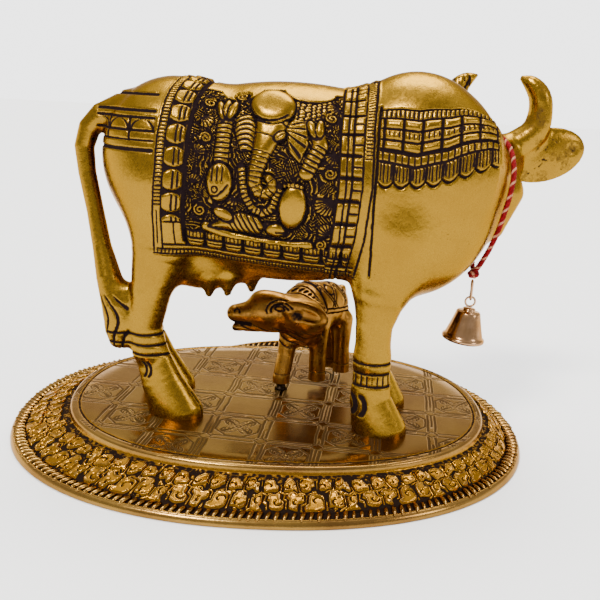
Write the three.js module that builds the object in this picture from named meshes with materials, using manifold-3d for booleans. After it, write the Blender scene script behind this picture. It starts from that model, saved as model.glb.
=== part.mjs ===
// Kamdhenu statue: a cow standing over her calf on an oval plate, with a bell on a thread round her neck.
// Millimetres, +Z up. The origin is the middle of the plate on its underside, +X towards the cow's chest.
import * as THREE from 'three';
import Module from 'manifold-3d';

const wasm = await Module();
wasm.setup();

// Oval plate
const plateLength = 240;
const plateWidth = 195.6;
const plateSquareness = 2.17;
const rimHeight = 2.5;
const floorLength = 195;
const floorWidth = 149.6;
const floorSquareness = 2.28;
const floorAhead = 4.1;
const floorHeight = 14.16;
const floorEdgeRound = 1.2;
const floorStep = 3.6;
const ropeWidth = 4.2;
const ropeRise = 1.3;
const lipWidth = 2.4;
const scrollRise = 0.9;
const scrollLeaves = 24;
const bentRise = 8.5;
const bentWidth = 122;
const bentMiddle = 13;

// Cow, drawn at drawnBack from hoof to back and carried to cowBack
const drawnBack = 144;
const cowBack = 144;
const cowTurn = -6.5;
const cowAhead = -1.7;
const cowAside = -14.9;
const cowFacets = 4900;

// Calf, drawn at calfDrawnBack from hoof to back and carried to calfBack
const calfDrawnBack = 48;
const calfBack = 48;
const calfTurn = -130;
const calfAhead = 21.2;
const calfAside = 18.7;
const calfLift = 3.9;
const calfFacets = 1250;

// Nut that the calf is screwed down over
const nutAcross = 6.6;

// Thread, wire hook and bell
const threadThick = 2.6;
const knotThick = 5.6;
const hookWire = 0.9;
const hookLength = 9.6;
const hookWidth = 2.8;
const ringWire = 0.9;
const ringAcross = 5.2;
const bellMouth = 19;
const bellShoulder = 10.4;
const bellHeight = 13.6;
const bellWall = 0.8;
const bellLip = 1.1;
const bellCap = 5.6;
const bellCapHeight = 1.5;
const bellTilt = 6;

// Gap between pieces that touch
const fit = 0.3;

const finishes = {
  gold: { color: 0xb8903a, roughness: 0.34, metalness: 0.95 },
  plate: { color: 0xa9803f, roughness: 0.28, metalness: 0.95 },
  nickel: { color: 0xb39a80, roughness: 0.3, metalness: 0.9 },
  steel: { color: 0x2b2623, roughness: 0.5, metalness: 0.8 },
  cotton: { color: 0xa3232b, roughness: 0.9, metalness: 0 },
};

const { cos, sin, abs, sqrt, min, max, sign, PI } = Math;
const radians = (degrees) => (degrees * PI) / 180;
const clamp = (value, low, high) => min(max(value, low), high);
const reach = (x, y, z = 0) => sqrt(x * x + y * y + z * z);
const mix = (from, to, share) => from + (to - from) * share;

// A value that runs through the given [place, value] points
function along(points, place) {
  if (place <= points[0][0]) return points[0][1];
  for (let i = 1; i < points.length; i += 1) {
    const [from, to] = [points[i - 1], points[i]];
    if (place <= to[0]) return mix(from[1], to[1], (place - from[0]) / (to[0] - from[0]));
  }
  return points[points.length - 1][1];
}

// Rounded forms: each is a function of a point that is negative inside, and about the distance to the skin

function ball(centre, radii, tilt = 0, turn = 0) {
  const [ct, st] = [cos(radians(turn)), sin(radians(turn))];
  const [cp, sp] = [cos(radians(tilt)), sin(radians(tilt))];
  const [cx, cy, cz] = centre;
  const [rx, ry, rz] = radii;
  return (px, py, pz) => {
    const dx = px - cx;
    const dy = py - cy;
    const dz = pz - cz;
    const flat = ct * dx + st * dy;
    const x = (cp * flat + sp * dz) / rx;
    const y = (ct * dy - st * dx) / ry;
    const z = (cp * dz - sp * flat) / rz;
    const near = reach(x, y, z);
    return (near * (near - 1)) / max(reach(x / rx, y / ry, z / rz), 1e-6);
  };
}

// A chain of tapered links through [x, y, z, radius] points, narrowed across y by flat
function limb(points, flat = 1) {
  const links = points.slice(1).map((to, i) => {
    const [fx, fy, fz, radius] = points[i];
    const [dx, dy, dz] = [to[0] - fx, (to[1] - fy) / flat, to[2] - fz];
    return { fx, fy, fz, radius, dx, dy, dz, taper: to[3] - radius, square: dx * dx + dy * dy + dz * dz };
  });
  return (px, py, pz) => {
    let nearest = Infinity;
    for (const link of links) {
      const x = px - link.fx;
      const y = (py - link.fy) / flat;
      const z = pz - link.fz;
      const share = clamp((x * link.dx + y * link.dy + z * link.dz) / link.square, 0, 1);
      const gap = reach(x - share * link.dx, y - share * link.dy, z - share * link.dz);
      nearest = min(nearest, gap - link.radius - link.taper * share);
    }
    return nearest * flat;
  };
}

function blended(a, b, blend) {
  const near = max(blend - abs(a - b), 0) / blend;
  return min(a, b) - (near * near * blend) / 4;
}

// Forms melted into one another, each [form, blend]; a form with cut set is scooped out
function melted(steps) {
  return (x, y, z) => {
    let value = steps[0].form(x, y, z);
    for (let i = 1; i < steps.length; i += 1) {
      const { form, blend, cut } = steps[i];
      value = cut ? -blended(-value, form(x, y, z), blend) : blended(value, form(x, y, z), blend);
    }
    return value;
  };
}

// Cow, in her own frame: x forward, y to her left, z up from the hooves

const body = [
  { form: ball([-43, 0, 113.5], [32.5, 27, 33]) },
  { form: ball([6, 0, 103.5], [76, 28, 42]), blend: 8 },
  { form: ball([58, 0, 105.5], [38.5, 27, 47.5]), blend: 8 },
];

// The far legs stand a little behind the near ones
const legs = [-1, 1].flatMap((side) => {
  const back = side > 0 ? -11 : 0;
  const front = side > 0 ? 0.5 : 0;
  const thigh = [
    [-45, side * 9, 100, 19],
    [-46.3, side * 13, 75, 13],
    [-50.3 + back * 0.4, side * 16, 56, 8.8],
    [-52.8 + back * 0.7, side * 16, 40, 7.2],
    [-51.5 + back, side * 16, 30, 7],
  ];
  const hindHoof = [
    [-51.5 + back, side * 16, 32, 6.8],
    [-45 + back, side * 16, 14, 9.4],
    [-38.5 + back, side * 16, 0, 12.2],
  ];
  const foreleg = [
    [55 + front, side * 10, 84, 17],
    [48.6 + front, side * 14, 62, 11.8],
    [47 + front, side * 16.5, 48, 7.9],
    [47.2 + front, side * 16.5, 32, 7.2],
  ];
  const foreHoof = [
    [47.2 + front, side * 17, 33, 7.4],
    [47.8 + front, side * 17, 14, 9],
    [52.5 + front, side * 17, 0, 12],
  ];
  const hoofFlat = 0.66;
  return [
    { form: limb(thigh), blend: 9 },
    { form: limb(hindHoof, hoofFlat), blend: 3 },
    { form: limb(foreleg), blend: 9 },
    { form: limb(foreHoof, hoofFlat), blend: 3 },
  ];
});

const tail = limb([
  [-65, 0, 131.5, 8],
  [-76, -1, 128.5, 5.4],
  [-81.5, -2, 123, 4.6],
  [-83.6, -3, 115, 4.2],
  [-82, -4.5, 104, 3.8],
  [-77.8, -7, 88, 3.7],
  [-74, -10, 73, 4.1],
  [-70, -13, 60, 5.5],
  [-66, -15, 48, 6.5],
  [-64.6, -16, 38, 6.2],
  [-64.2, -16, 34, 5.4],
]);

// Where the tuft runs into the leg
const tuftRoot = limb([[-62.5, -14.5, 54, 4.2], [-60, -15.5, 42, 5]]);

const neckAndHead = [
  { form: limb([[74, 1, 114, 25], [88, 14, 111.5, 15.5], [95, 30, 114, 13]]), blend: 8 },
  { form: limb([[98, 6, 105, 8.5], [94.5, 3, 90.5, 5.2]]), blend: 6 },
  { form: ball([95, 38, 115.4], [14, 17, 12.8]), blend: 6 },
  { form: limb([[95, 42, 115, 11.5], [95, 62, 105, 8.6], [95, 70, 101, 7.6]]), blend: 5 },
  { form: ball([95, 73, 101.5], [8.6, 5, 7]), blend: 3 },
];

// Horn, ear, eye and nostril on each side of the head's middle, which faces her left.
// Horn and ear over her back sit a little further forward, clear of the thread.
const headSides = [1, -1].flatMap((side) => {
  const at = (out) => 95 + side * out;
  const [sweep, earY, earLong, hornY] = side > 0 ? [14, 37.5, 21, 34] : [-30, 41, 20.2, 36.8];
  const horn = [
    [at(9), hornY, 122.6, 6.8],
    [at(18.2), hornY, 130.3, 6.2],
    [at(20), hornY, 139, 5.4],
    [at(18.8), hornY, 146, 4.9],
    [at(14.9), hornY + 0.5, 151, 3.6],
    [at(9.6), hornY + 1, 154.5, 1.1],
  ];
  return [
    { form: limb(horn), blend: 3 },
    { form: ball([at(24.3), earY, 119.9], [earLong, 3.6, 12.2], 13 * side, sweep), blend: 3 },
    { form: ball([at(26), earY + 4.7, 120.6], [13, 3, 7.5], 13 * side, sweep), blend: 1.5, cut: true },
    { form: ball([at(11.2), 49, 118.5], [2.4, 3.6, 2.8]), blend: 0.8 },
    { form: ball([at(4.2), 78.2, 103.6], [1.6, 1.8, 1.5]), blend: 0.8, cut: true },
  ];
});

const udder = [
  { form: ball([-30, 0, 66], [21, 13.5, 11.2]), blend: 8 },
  ...[[-26.4, -8, 55.6], [-18.2, -8, 56.4], [-30, 8, 56], [-8.8, 0, 57]].map(([x, y, z]) => (
    { form: limb([[x, y, z + 6, 4.6], [x, y, z - 1, 1.7]]), blend: 2.5 }
  )),
];

const cowForm = melted([...body, ...legs, { form: tail, blend: 4 }, { form: tuftRoot, blend: 4 }, ...neckAndHead, ...headSides, ...udder]);

// Carving on the cow. Her flank is drawn flat: x forward and t up the side, on over the back.

const flankMiddle = 103.5;
const flankHigh = 42;
const flankWide = 28;

function flank(x, y, z) {
  const up = z - flankMiddle;
  const t = up < 0 ? up : flankHigh * Math.atan2(up, (abs(y) * flankHigh) / flankWide);
  return [x, t];
}

const swell = (share) => (share < 1 ? sqrt(1 - share * share) : 0);
const ledge = (inside, soft) => clamp(inside / soft + 0.5, 0, 1);

// How far a flank point is from a line through the given points
function fromLine(points, x, t) {
  let nearest = Infinity;
  for (let i = 1; i < points.length; i += 1) {
    const [ax, at] = points[i - 1];
    const [dx, dt] = [points[i][0] - ax, points[i][1] - at];
    const share = clamp(((x - ax) * dx + (t - at) * dt) / (dx * dx + dt * dt), 0, 1);
    nearest = min(nearest, reach(x - ax - share * dx, t - at - share * dt));
  }
  return nearest;
}

// Saddle cloth with its frame
const clothRear = [[-28, -46], [19, -45.4], [37, -43.8], [50, -41.7], [66, -40]];
const clothFront = [[-34, 37.5], [-18, 40.6], [3, 42.3], [27, 41.8], [66, 42]];
const clothRaise = 0.9;
const frameWide = 13;
const frameRaise = 0.7;

const clothHem = (x) => -31.6 - 0.078 * x;

function clothCarving(x, t) {
  const inside = min(x - along(clothRear, t), along(clothFront, t) - x, t - clothHem(x));
  const panel = min(x + 32, 27.5 - x, t + 21.5);
  return clothRaise * ledge(inside, 1.4) + frameRaise * ledge(inside, 1.4) * ledge(-panel, 1.4);
}

// Seated elephant-headed figure: ovals [x, t, half width, half height, tilt, raise] and lines [raise, half width, points]
const figureOvals = [
  [0.5, 36.5, 8, 7.6, 0, 2.6],
  [-10.2, 24, 4.4, 9.4, 8, 1.2],
  [11, 20.5, 4.6, 9.4, -14, 1.2],
  [-19.3, 2.6, 5.3, 7.6, 0, 1.8],
  [10.7, -5.8, 4.9, 8.8, -8, 2],
  [4, -15.8, 3.7, 2.9, 0, 1.6],
  [1.5, 6, 9, 12, 0, 0.6],
];
const figureLines = [
  [2.6, 4.2, [[0.6, 30], [0, 22], [-2.6, 15], [-4.6, 7]]],
  [2.2, 3.2, [[-4.6, 7], [-4, 1.4], [-0.8, -1], [2.2, 2.4]]],
  [1, 1.4, [[-10, 6], [-8.1, -2], [-2.6, -8.1], [1.8, -5.3], [3.9, 3.2]]],
  [1.8, 3.2, [[-18.4, 40], [-18.8, 11]]],
  [1.7, 3.2, [[20.4, 26], [14.6, 9]]],
  [1.8, 3.6, [[-18.5, -14.6], [-3.5, -15.2]]],
  [1.5, 1.8, [[-24.5, -16.8], [-14.8, -19.8], [-2.2, -21.6], [17.2, -21.8]]],
];

function figureCarving(x, t) {
  let raise = 0;
  for (const [ox, ot, wide, high, tilt, rise] of figureOvals) {
    const [c, s] = [cos(radians(tilt)), sin(radians(tilt))];
    const across = (c * (x - ox) + s * (t - ot)) / wide;
    const up = (-s * (x - ox) + c * (t - ot)) / high;
    raise = max(raise, rise * swell(reach(across, up)));
  }
  for (const [rise, wide, points] of figureLines) {
    raise = max(raise, rise * swell(fromLine(points, x, t) / wide));
  }
  return raise;
}

// Collar on the shoulder, ending below in a row of round tassels
const collarTop = [[43, 36.9], [58, 34.1], [72, 37.9], [81, 45.2], [92, 52]];
const collarLow = [[43, 4.4], [58.6, 4.8], [68, 6.6], [78, 10.8], [89, 18.2], [96, 24]];
const collarRaise = 1;
const tasselPitch = 5.3;
const tasselDrop = 1.6;

function collarCarving(x, t) {
  const swing = abs(((((x - 43) / tasselPitch) % 1) + 1) % 1 - 0.5) * 2;
  const low = along(collarLow, x) + tasselDrop * swing * swing;
  const inside = min(x - 43.4, 93 - x, along(collarTop, x) - t, t - low);
  return collarRaise * ledge(inside, 1.4);
}

// Bands round the rump, and the rings round the ankles
const rumpRaise = 0.5;
const ankleRaise = 0.5;

const rumpCarving = (x, t) => rumpRaise * ledge(min(-46.6 - x, t - 15, 52 - t, x + 78), 1.4);

function ankleCarving(x, z) {
  const front = min(z - 21.5, 32.5 - z, 12 - abs(x - 47.5));
  const hind = min(z - 27.5, 37.5 - z, 22 - abs(x + 54));
  return ankleRaise * ledge(max(front, hind), 1.2);
}

function cowCarving(x, y, z) {
  const [fx, t] = flank(x, y, z);
  const onBody = ledge(min(z - 60, 36 - abs(y), x + 76), 2);
  const onFlank = clothCarving(fx, t) + figureCarving(fx, t) + collarCarving(fx, t) + rumpCarving(fx, t);
  return onBody * onFlank + ankleCarving(x, z);
}

// Calf, in its own frame: x forward, y to its left, z up from the hooves, the head turned to its right
const calfHead = melted([
  { form: limb([[-7, 3, 35, 9], [4, 0, 37, 8]]) },
  { form: ball([11.5, 0, 37.5], [10, 7.2, 9.2]), blend: 3 },
  { form: ball([16.5, 0, 41.5], [5.5, 5, 5]), blend: 3 },
  { form: limb([[16, 0, 36.2, 6.8], [28.4, 0, 35, 4.3]]), blend: 3 },
  { form: limb([[8, 0, 31, 5], [28.2, 0, 27.9, 1.9]]), blend: 2 },
  ...[1, -1].flatMap((side) => [
    { form: ball([-4.5, side * 8.7, 38.4], [11.5, 2.5, 5.4], 18), blend: 2 },
    { form: ball([9.2, side * 6.9, 39.8], [2.4, 1.4, 1.6]), blend: 0.6 },
  ]),
]);

function calfHeadForm(x, y, z) {
  const [c, s] = [cos(radians(-50)), sin(radians(-50))];
  const ahead = x - 17;
  return calfHead(ahead * c + y * s, -ahead * s + y * c, z);
}

const calfLegs = [
  [13.5, -5.6, 26, 18.3],
  [3.5, 4.6, 28, 2.7],
  [-15.5, 5.6, 28, -16.5],
  [-15, -3.8, 28, -19],
].map(([x, y, top, foot]) => (
  { form: limb([[x, y, top, 5.2], [mix(x, foot, 0.4), y, 14, 4.1], [foot, y, 2.5, 4.2], [foot, y, 0, 4.3]]), blend: 3.5 }
));

const calfForm = melted([
  { form: ball([-3, 0, 36], [18.5, 10, 12]) },
  { form: ball([9.5, 0, 32], [9.5, 9.2, 14]), blend: 5 },
  { form: ball([5, -4, 38.6], [9, 9.5, 9.8]), blend: 4 },
  ...calfLegs,
  { form: calfHeadForm, blend: 4 },
  { form: limb([[-20.5, 0, 42, 2.4], [-23, 0, 36, 1.8], [-22.5, 0, 24, 2.2]]), blend: 1.5 },
]);

// Saddle cloth on the calf's back
function calfCarving(x, y, z) {
  const inside = min(7 - x, x + 19, z - 30);
  return 0.7 * ledge(inside, 1.2);
}

// Skins. A form becomes a closed net of quads, one point for each lattice cell that its skin crosses.

// The form's values on a lattice. A block of it that lies well clear of the skin takes one value.
const blockCells = 4;

function sampled(form, low, counts, cell) {
  const values = new Float32Array(counts[0] * counts[1] * counts[2]);
  const at = (axis, index) => low[axis] + index * cell;
  const half = blockCells / 2;
  const clear = blockCells * cell * 1.2;
  for (let bk = 0; bk < counts[2]; bk += blockCells) {
    for (let bj = 0; bj < counts[1]; bj += blockCells) {
      for (let bi = 0; bi < counts[0]; bi += blockCells) {
        const middle = form(at(0, bi + half), at(1, bj + half), at(2, bk + half));
        const far = abs(middle) > clear;
        for (let k = bk; k < bk + blockCells; k += 1) {
          for (let j = bj; j < bj + blockCells; j += 1) {
            const row = (k * counts[1] + j) * counts[0];
            for (let i = bi; i < bi + blockCells; i += 1) {
              values[row + i] = far ? middle : form(at(0, i), at(1, j), at(2, k));
            }
          }
        }
      }
    }
  }
  return values;
}

const cellEdges = [];
for (let a = 0; a < 8; a += 1) {
  for (const bit of [1, 2, 4]) {
    if (!(a & bit)) cellEdges.push([a, a | bit]);
  }
}

// The middle of the places where the skin crosses a cell's edges, in cells from its low corner
function crossing(corners) {
  const sum = [0, 0, 0];
  let count = 0;
  for (const [a, b] of cellEdges) {
    if (corners[a] < 0 !== corners[b] < 0) {
      const share = corners[a] / (corners[a] - corners[b]);
      for (let axis = 0; axis < 3; axis += 1) {
        sum[axis] += mix((a >> axis) & 1, (b >> axis) & 1, share);
      }
      count += 1;
    }
  }
  return count ? sum.map((value) => value / count) : null;
}

function netOf(form, low, high, cell) {
  const blocks = low.map((value, axis) => Math.ceil((high[axis] - value) / cell / blockCells));
  const counts = blocks.map((count) => count * blockCells);
  const strides = [1, counts[0], counts[0] * counts[1]];
  const values = sampled(form, low, counts, cell);
  const pointOf = new Int32Array(values.length).fill(-1);
  const points = [];
  const faces = [];
  const corners = new Array(8);
  for (let k = 0; k + 1 < counts[2]; k += 1) {
    for (let j = 0; j + 1 < counts[1]; j += 1) {
      for (let i = 0; i + 1 < counts[0]; i += 1) {
        const base = i + j * strides[1] + k * strides[2];
        for (let c = 0; c < 8; c += 1) {
          corners[c] = values[base + (c & 1) + ((c >> 1) & 1) * strides[1] + ((c >> 2) & 1) * strides[2]];
        }
        const place = crossing(corners);
        if (place) {
          pointOf[base] = points.length;
          points.push([i, j, k].map((index, axis) => low[axis] + (index + place[axis]) * cell));
        }
      }
    }
  }
  const addQuad = (base, axis, flip) => {
    const [u, v] = [strides[(axis + 1) % 3], strides[(axis + 2) % 3]];
    const quad = [base - u - v, base - v, base, base - u].map((index) => pointOf[index]);
    const [a, b, c, d] = flip ? quad.reverse() : quad;
    faces.push([a, b, c], [a, c, d]);
  };
  for (let n = 0; n < values.length; n += 1) {
    for (let axis = 0; axis < 3; axis += 1) {
      const next = n + strides[axis];
      if (next < values.length && values[n] < 0 !== values[next] < 0) addQuad(n, axis, values[n] >= 0);
    }
  }
  return { points, faces };
}

function slope(form, [x, y, z], step = 0.2) {
  const g = [
    form(x + step, y, z) - form(x - step, y, z),
    form(x, y + step, z) - form(x, y - step, z),
    form(x, y, z + step) - form(x, y, z - step),
  ];
  const length = max(reach(...g), 1e-9);
  return { direction: g.map((value) => value / length), steepness: length / (2 * step) };
}

// Draws each point of a net onto the form's skin, then raises it by the carving
function settled(form, carving, points) {
  return points.map((start) => {
    let place = start;
    for (let round = 0; round < 3; round += 1) {
      const { direction, steepness } = slope(form, place);
      const off = form(...place) / max(steepness, 0.3);
      place = place.map((value, axis) => value - direction[axis] * clamp(off, -2, 2));
    }
    const { direction } = slope(form, place);
    const rise = carving(...place);
    return place.map((value, axis) => value + direction[axis] * rise);
  });
}

// Fewer facets: the edges whose loss changes the skin least are closed up, round after round

const minus = (a, b) => [a[0] - b[0], a[1] - b[1], a[2] - b[2]];
const cross = (a, b) => [a[1] * b[2] - a[2] * b[1], a[2] * b[0] - a[0] * b[2], a[0] * b[1] - a[1] * b[0]];
const dot = (a, b) => a[0] * b[0] + a[1] * b[1] + a[2] * b[2];

// Squared distance to a face's plane, as the ten numbers of a quadric weighted by area
function planeQuadric(p, q, r) {
  const n = cross(minus(q, p), minus(r, p));
  const size = max(reach(...n), 1e-12);
  const [a, b, c] = n.map((value) => value / size);
  const d = -(a * p[0] + b * p[1] + c * p[2]);
  return [a * a, a * b, a * c, a * d, b * b, b * c, b * d, c * c, c * d, d * d].map((value) => value * size);
}

function quadricError(q, [x, y, z]) {
  return q[0] * x * x + 2 * q[1] * x * y + 2 * q[2] * x * z + 2 * q[3] * x + q[4] * y * y
    + 2 * q[5] * y * z + 2 * q[6] * y + q[7] * z * z + 2 * q[8] * z + q[9];
}

// The best place for two joined points, of the two themselves and the stretch between them
function bestPlace(q, a, b) {
  let best = { error: Infinity };
  for (const share of [0, 0.25, 0.5, 0.75, 1]) {
    const place = a.map((value, axis) => mix(value, b[axis], share));
    const error = quadricError(q, place);
    if (error < best.error) best = { error, place };
  }
  return best;
}

function facesAround(count, faces) {
  const around = Array.from({ length: count }, () => []);
  faces.forEach((face, index) => face.forEach((point) => around[point].push(index)));
  return around;
}

// Whether moving a corner keeps every face around it, apart from those on the edge, facing as it did
function keepsFacing(points, faces, around, corner, other, place) {
  return around[corner].every((index) => {
    const face = faces[index];
    if (face.includes(other)) return true;
    const before = face.map((point) => points[point]);
    const after = face.map((point) => (point === corner ? place : points[point]));
    const old = cross(minus(before[1], before[0]), minus(before[2], before[0]));
    const now = cross(minus(after[1], after[0]), minus(after[2], after[0]));
    return dot(old, now) > 0.3 * reach(...old) * reach(...now) && reach(...now) > 1e-3;
  });
}

function thinningRound(points, faces, quadrics, goal) {
  const around = facesAround(points.length, faces);
  const edges = [];
  for (const face of faces) {
    for (let i = 0; i < 3; i += 1) {
      const [a, b] = [face[i], face[(i + 1) % 3]];
      if (a < b) {
        const q = quadrics[a].map((value, n) => value + quadrics[b][n]);
        const length = reach(...minus(points[a], points[b]));
        const { error, place } = bestPlace(q, points[a], points[b]);
        edges.push({ a, b, q, place, cost: error + 1e-4 * length ** 3 });
      }
    }
  }
  edges.sort((first, second) => first.cost - second.cost);
  const busy = new Uint8Array(points.length);
  const gone = new Uint8Array(faces.length);
  let left = faces.length;
  for (const { a, b, q, place } of edges.slice(0, Math.ceil(edges.length * 0.35))) {
    if (left <= goal) break;
    if (busy[a] || busy[b]) continue;
    const ringA = new Set(around[a].flatMap((index) => faces[index]));
    const ringB = new Set(around[b].flatMap((index) => faces[index]));
    const shared = [...ringA].filter((point) => ringB.has(point) && point !== a && point !== b);
    if (shared.length !== 2) continue;
    if (!keepsFacing(points, faces, around, a, b, place)) continue;
    if (!keepsFacing(points, faces, around, b, a, place)) continue;
    for (const point of [...ringA, ...ringB]) busy[point] = 1;
    points[a] = place;
    quadrics[a] = q;
    for (const index of around[b]) {
      if (faces[index].includes(a)) {
        gone[index] = 1;
        left -= 1;
      } else {
        faces[index] = faces[index].map((point) => (point === b ? a : point));
      }
    }
  }
  return faces.filter((face, index) => !gone[index]);
}

function thinned({ points, faces }, goal) {
  const quadrics = points.map(() => new Array(10).fill(0));
  for (const face of faces) {
    const q = planeQuadric(...face.map((point) => points[point]));
    for (const point of face) quadrics[point] = quadrics[point].map((value, n) => value + q[n]);
  }
  let rest = faces;
  for (let round = 0; round < 40 && rest.length > goal; round += 1) {
    rest = thinningRound(points, rest, quadrics, goal);
  }
  return { points, faces: rest };
}

// Solids for cutting and joining

function toSolid({ points, faces }) {
  const used = [...new Set(faces.flat())];
  const order = new Map(used.map((point, index) => [point, index]));
  const vertProperties = new Float32Array(used.flatMap((point) => points[point]));
  const triVerts = new Uint32Array(faces.flat().map((point) => order.get(point)));
  return new wasm.Manifold(new wasm.Mesh({ numProp: 3, vertProperties, triVerts }));
}

function toGeometry(solid) {
  const { vertProperties, triVerts } = solid.getMesh();
  const geometry = new THREE.BufferGeometry();
  geometry.setAttribute('position', new THREE.BufferAttribute(vertProperties, 3));
  geometry.setIndex(new THREE.BufferAttribute(triVerts, 1));
  geometry.computeVertexNormals();
  return geometry;
}

// Where two sheets of a skin touch at a point, each sheet's own copy of it moves a little back into its sheet
function partedSheets(geometry) {
  const place = geometry.attributes.position;
  const corners = geometry.index.array;
  const spot = (n) => [place.getX(n), place.getY(n), place.getZ(n)];
  const copies = new Map();
  for (let n = 0; n < place.count; n += 1) {
    const key = spot(n).map((value) => value.toFixed(3)).join();
    copies.set(key, [...(copies.get(key) ?? []), n]);
  }
  const moved = [...copies.values()].filter((same) => same.length > 1).flat().map((n) => {
    const around = [];
    for (let c = 0; c < corners.length; c += 3) {
      const face = [corners[c], corners[c + 1], corners[c + 2]];
      if (face.includes(n)) around.push(...face.filter((other) => other !== n).map(spot));
    }
    const middle = [0, 1, 2].map((axis) => around.reduce((sum, other) => sum + other[axis], 0) / around.length);
    return { n, to: spot(n).map((value, axis) => mix(value, middle[axis], 0.06)) };
  });
  for (const { n, to } of moved) place.setXYZ(n, ...to);
  return geometry;
}

// A box from low to high as a net of points and faces
function boxNet(low, high) {
  const points = [];
  for (let c = 0; c < 8; c += 1) {
    points.push([0, 1, 2].map((axis) => ((c >> axis) & 1 ? high[axis] : low[axis])));
  }
  const faces = [
    [0, 2, 3], [0, 3, 1], [4, 5, 7], [4, 7, 6], [0, 1, 5], [0, 5, 4],
    [2, 6, 7], [2, 7, 3], [0, 4, 6], [0, 6, 2], [1, 3, 7], [1, 7, 5],
  ];
  return { points, faces };
}

// A figure's skin, cut flat under its hooves and carried to its real size
function figureGeometry(form, carving, low, high, cell, facets, scale) {
  const net = netOf(form, low, high, cell);
  net.points = settled(form, carving, net.points);
  const skin = toSolid(thinned(net, facets));
  const below = boxNet([low[0] - 50, low[1] - 50, low[2] - 50], [high[0] + 50, high[1] + 50, 0]);
  const standing = partedSheets(toGeometry(skin.subtract(toSolid(below)).simplify(0.02)));
  return standing.scale(scale, scale, scale);
}

// Oval plate: rings of points from the middle of the floor out over the flange and back underneath

const plateSides = 84;

function ovalReach(angle, halfLong, halfWide, squareness) {
  const long = abs(cos(angle) / halfLong) ** squareness;
  const wide = abs(sin(angle) / halfWide) ** squareness;
  return (long + wide) ** (-1 / squareness);
}

// A point of the flange: out millimetres from the floor's edge, or from the rim where fromRim is set
function flangePoint(angle, out, height, fromRim) {
  const floorReach = ovalReach(angle, floorLength / 2, floorWidth / 2, floorSquareness);
  const rimReach = ovalReach(angle, plateLength / 2, plateWidth / 2, plateSquareness);
  const rimPoint = [rimReach * cos(angle), rimReach * sin(angle)];
  const floorPoint = [floorAhead + floorReach * cos(angle), floorReach * sin(angle)];
  const across = reach(rimPoint[0] - floorPoint[0], rimPoint[1] - floorPoint[1]);
  const share = fromRim ? 1 + out / across : out / across;
  const x = mix(floorPoint[0], rimPoint[0], share);
  const y = mix(floorPoint[1], rimPoint[1], share);
  const bend = y > 0 ? max(0, 1 - ((x - bentMiddle) / (bentWidth / 2)) ** 2) ** 2 : 0;
  const lift = height > 0 ? bentRise * bend * clamp(share, 0, 1) ** 2 : 0;
  return [x, y, height + lift];
}

function plateGeometry() {
  const flangeTop = floorHeight - floorStep;
  const ropeIn = -(lipWidth + ropeWidth);
  const ropeTop = rimHeight + ropeRise;
  const bandIn = 3.2;
  const bandMiddle = (rise) => ({ share: 0.5, rise });
  const rings = [
    { out: -floorEdgeRound, height: floorHeight },
    { out: 0, height: floorHeight - floorEdgeRound },
    { out: 0.6, height: flangeTop },
    { out: bandIn, height: flangeTop - 0.5 },
    bandMiddle(scrollRise),
    { out: ropeIn - 0.8, height: rimHeight + 0.9, fromRim: true },
    { out: ropeIn + ropeWidth * 0.3, height: ropeTop, fromRim: true },
    { out: ropeIn + ropeWidth * 0.7, height: ropeTop - 0.2, fromRim: true },
    { out: -lipWidth, height: rimHeight, fromRim: true },
    { out: 0, height: rimHeight - 0.3, fromRim: true },
    { out: 0, height: 0, fromRim: true },
  ];
  const points = [[floorAhead, 0, floorHeight], [floorAhead, 0, 0]];
  for (const ring of rings) {
    for (let i = 0; i < plateSides; i += 1) {
      const angle = (2 * PI * i) / plateSides;
      if (ring.share) {
        const inner = flangePoint(angle, bandIn, flangeTop - 0.5, false);
        const outer = flangePoint(angle, ropeIn - 0.8, rimHeight + 0.9, true);
        const leaf = 0.5 + 0.5 * cos(scrollLeaves * angle);
        const middle = inner.map((value, axis) => mix(value, outer[axis], ring.share));
        points.push([middle[0], middle[1], middle[2] + ring.rise + scrollRise * leaf]);
      } else {
        points.push(flangePoint(angle, ring.out, ring.height, ring.fromRim));
      }
    }
  }
  const at = (ring, i) => 2 + ring * plateSides + (i % plateSides);
  const last = rings.length - 1;
  const faces = [];
  for (let i = 0; i < plateSides; i += 1) {
    faces.push([0, at(0, i), at(0, i + 1)], [1, at(last, i + 1), at(last, i)]);
    for (let ring = 0; ring < last; ring += 1) {
      faces.push([at(ring, i), at(ring + 1, i), at(ring + 1, i + 1)]);
      faces.push([at(ring, i), at(ring + 1, i + 1), at(ring, i + 1)]);
    }
  }
  return toGeometry(toSolid({ points, faces }));
}

// Thread round the neck, in the cow's frame, from the knot up the near side, over the nape and back to the knot
const threadRoute = [
  [91, -3.9, 76.5], [93.6, -6, 83.6], [95.7, -7.3, 91], [97.3, -7.7, 98.7],
  [98.7, -7.3, 106.1], [99.6, -5.3, 112.7], [99.5, -1.4, 118.5], [98.6, 3.9, 123.4],
  [96.1, 9.9, 127.3], [92.3, 15.2, 129.9], [87.3, 20, 130], [82.6, 24.1, 127.8],
  [78.6, 27.3, 123.1], [76.5, 29.6, 117], [77.1, 29.4, 109.8], [78.6, 27.6, 102.7],
  [80.9, 24.5, 96.1], [83.6, 20.5, 89.7], [86.1, 15.9, 83.3], [88, 10.7, 77.1],
];
const knotPlace = [88.6, 1.5, 69.6];
const scale = cowBack / drawnBack;
const scaled = (place) => new THREE.Vector3(...place.map((value) => value * scale));

function roundSection(radius, sides) {
  const section = new THREE.Shape();
  for (let i = 0; i < sides; i += 1) {
    const angle = (2 * PI * i) / sides;
    const place = [radius * cos(angle), radius * sin(angle)];
    if (i === 0) section.moveTo(...place);
    else section.lineTo(...place);
  }
  section.closePath();
  return section;
}

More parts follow.
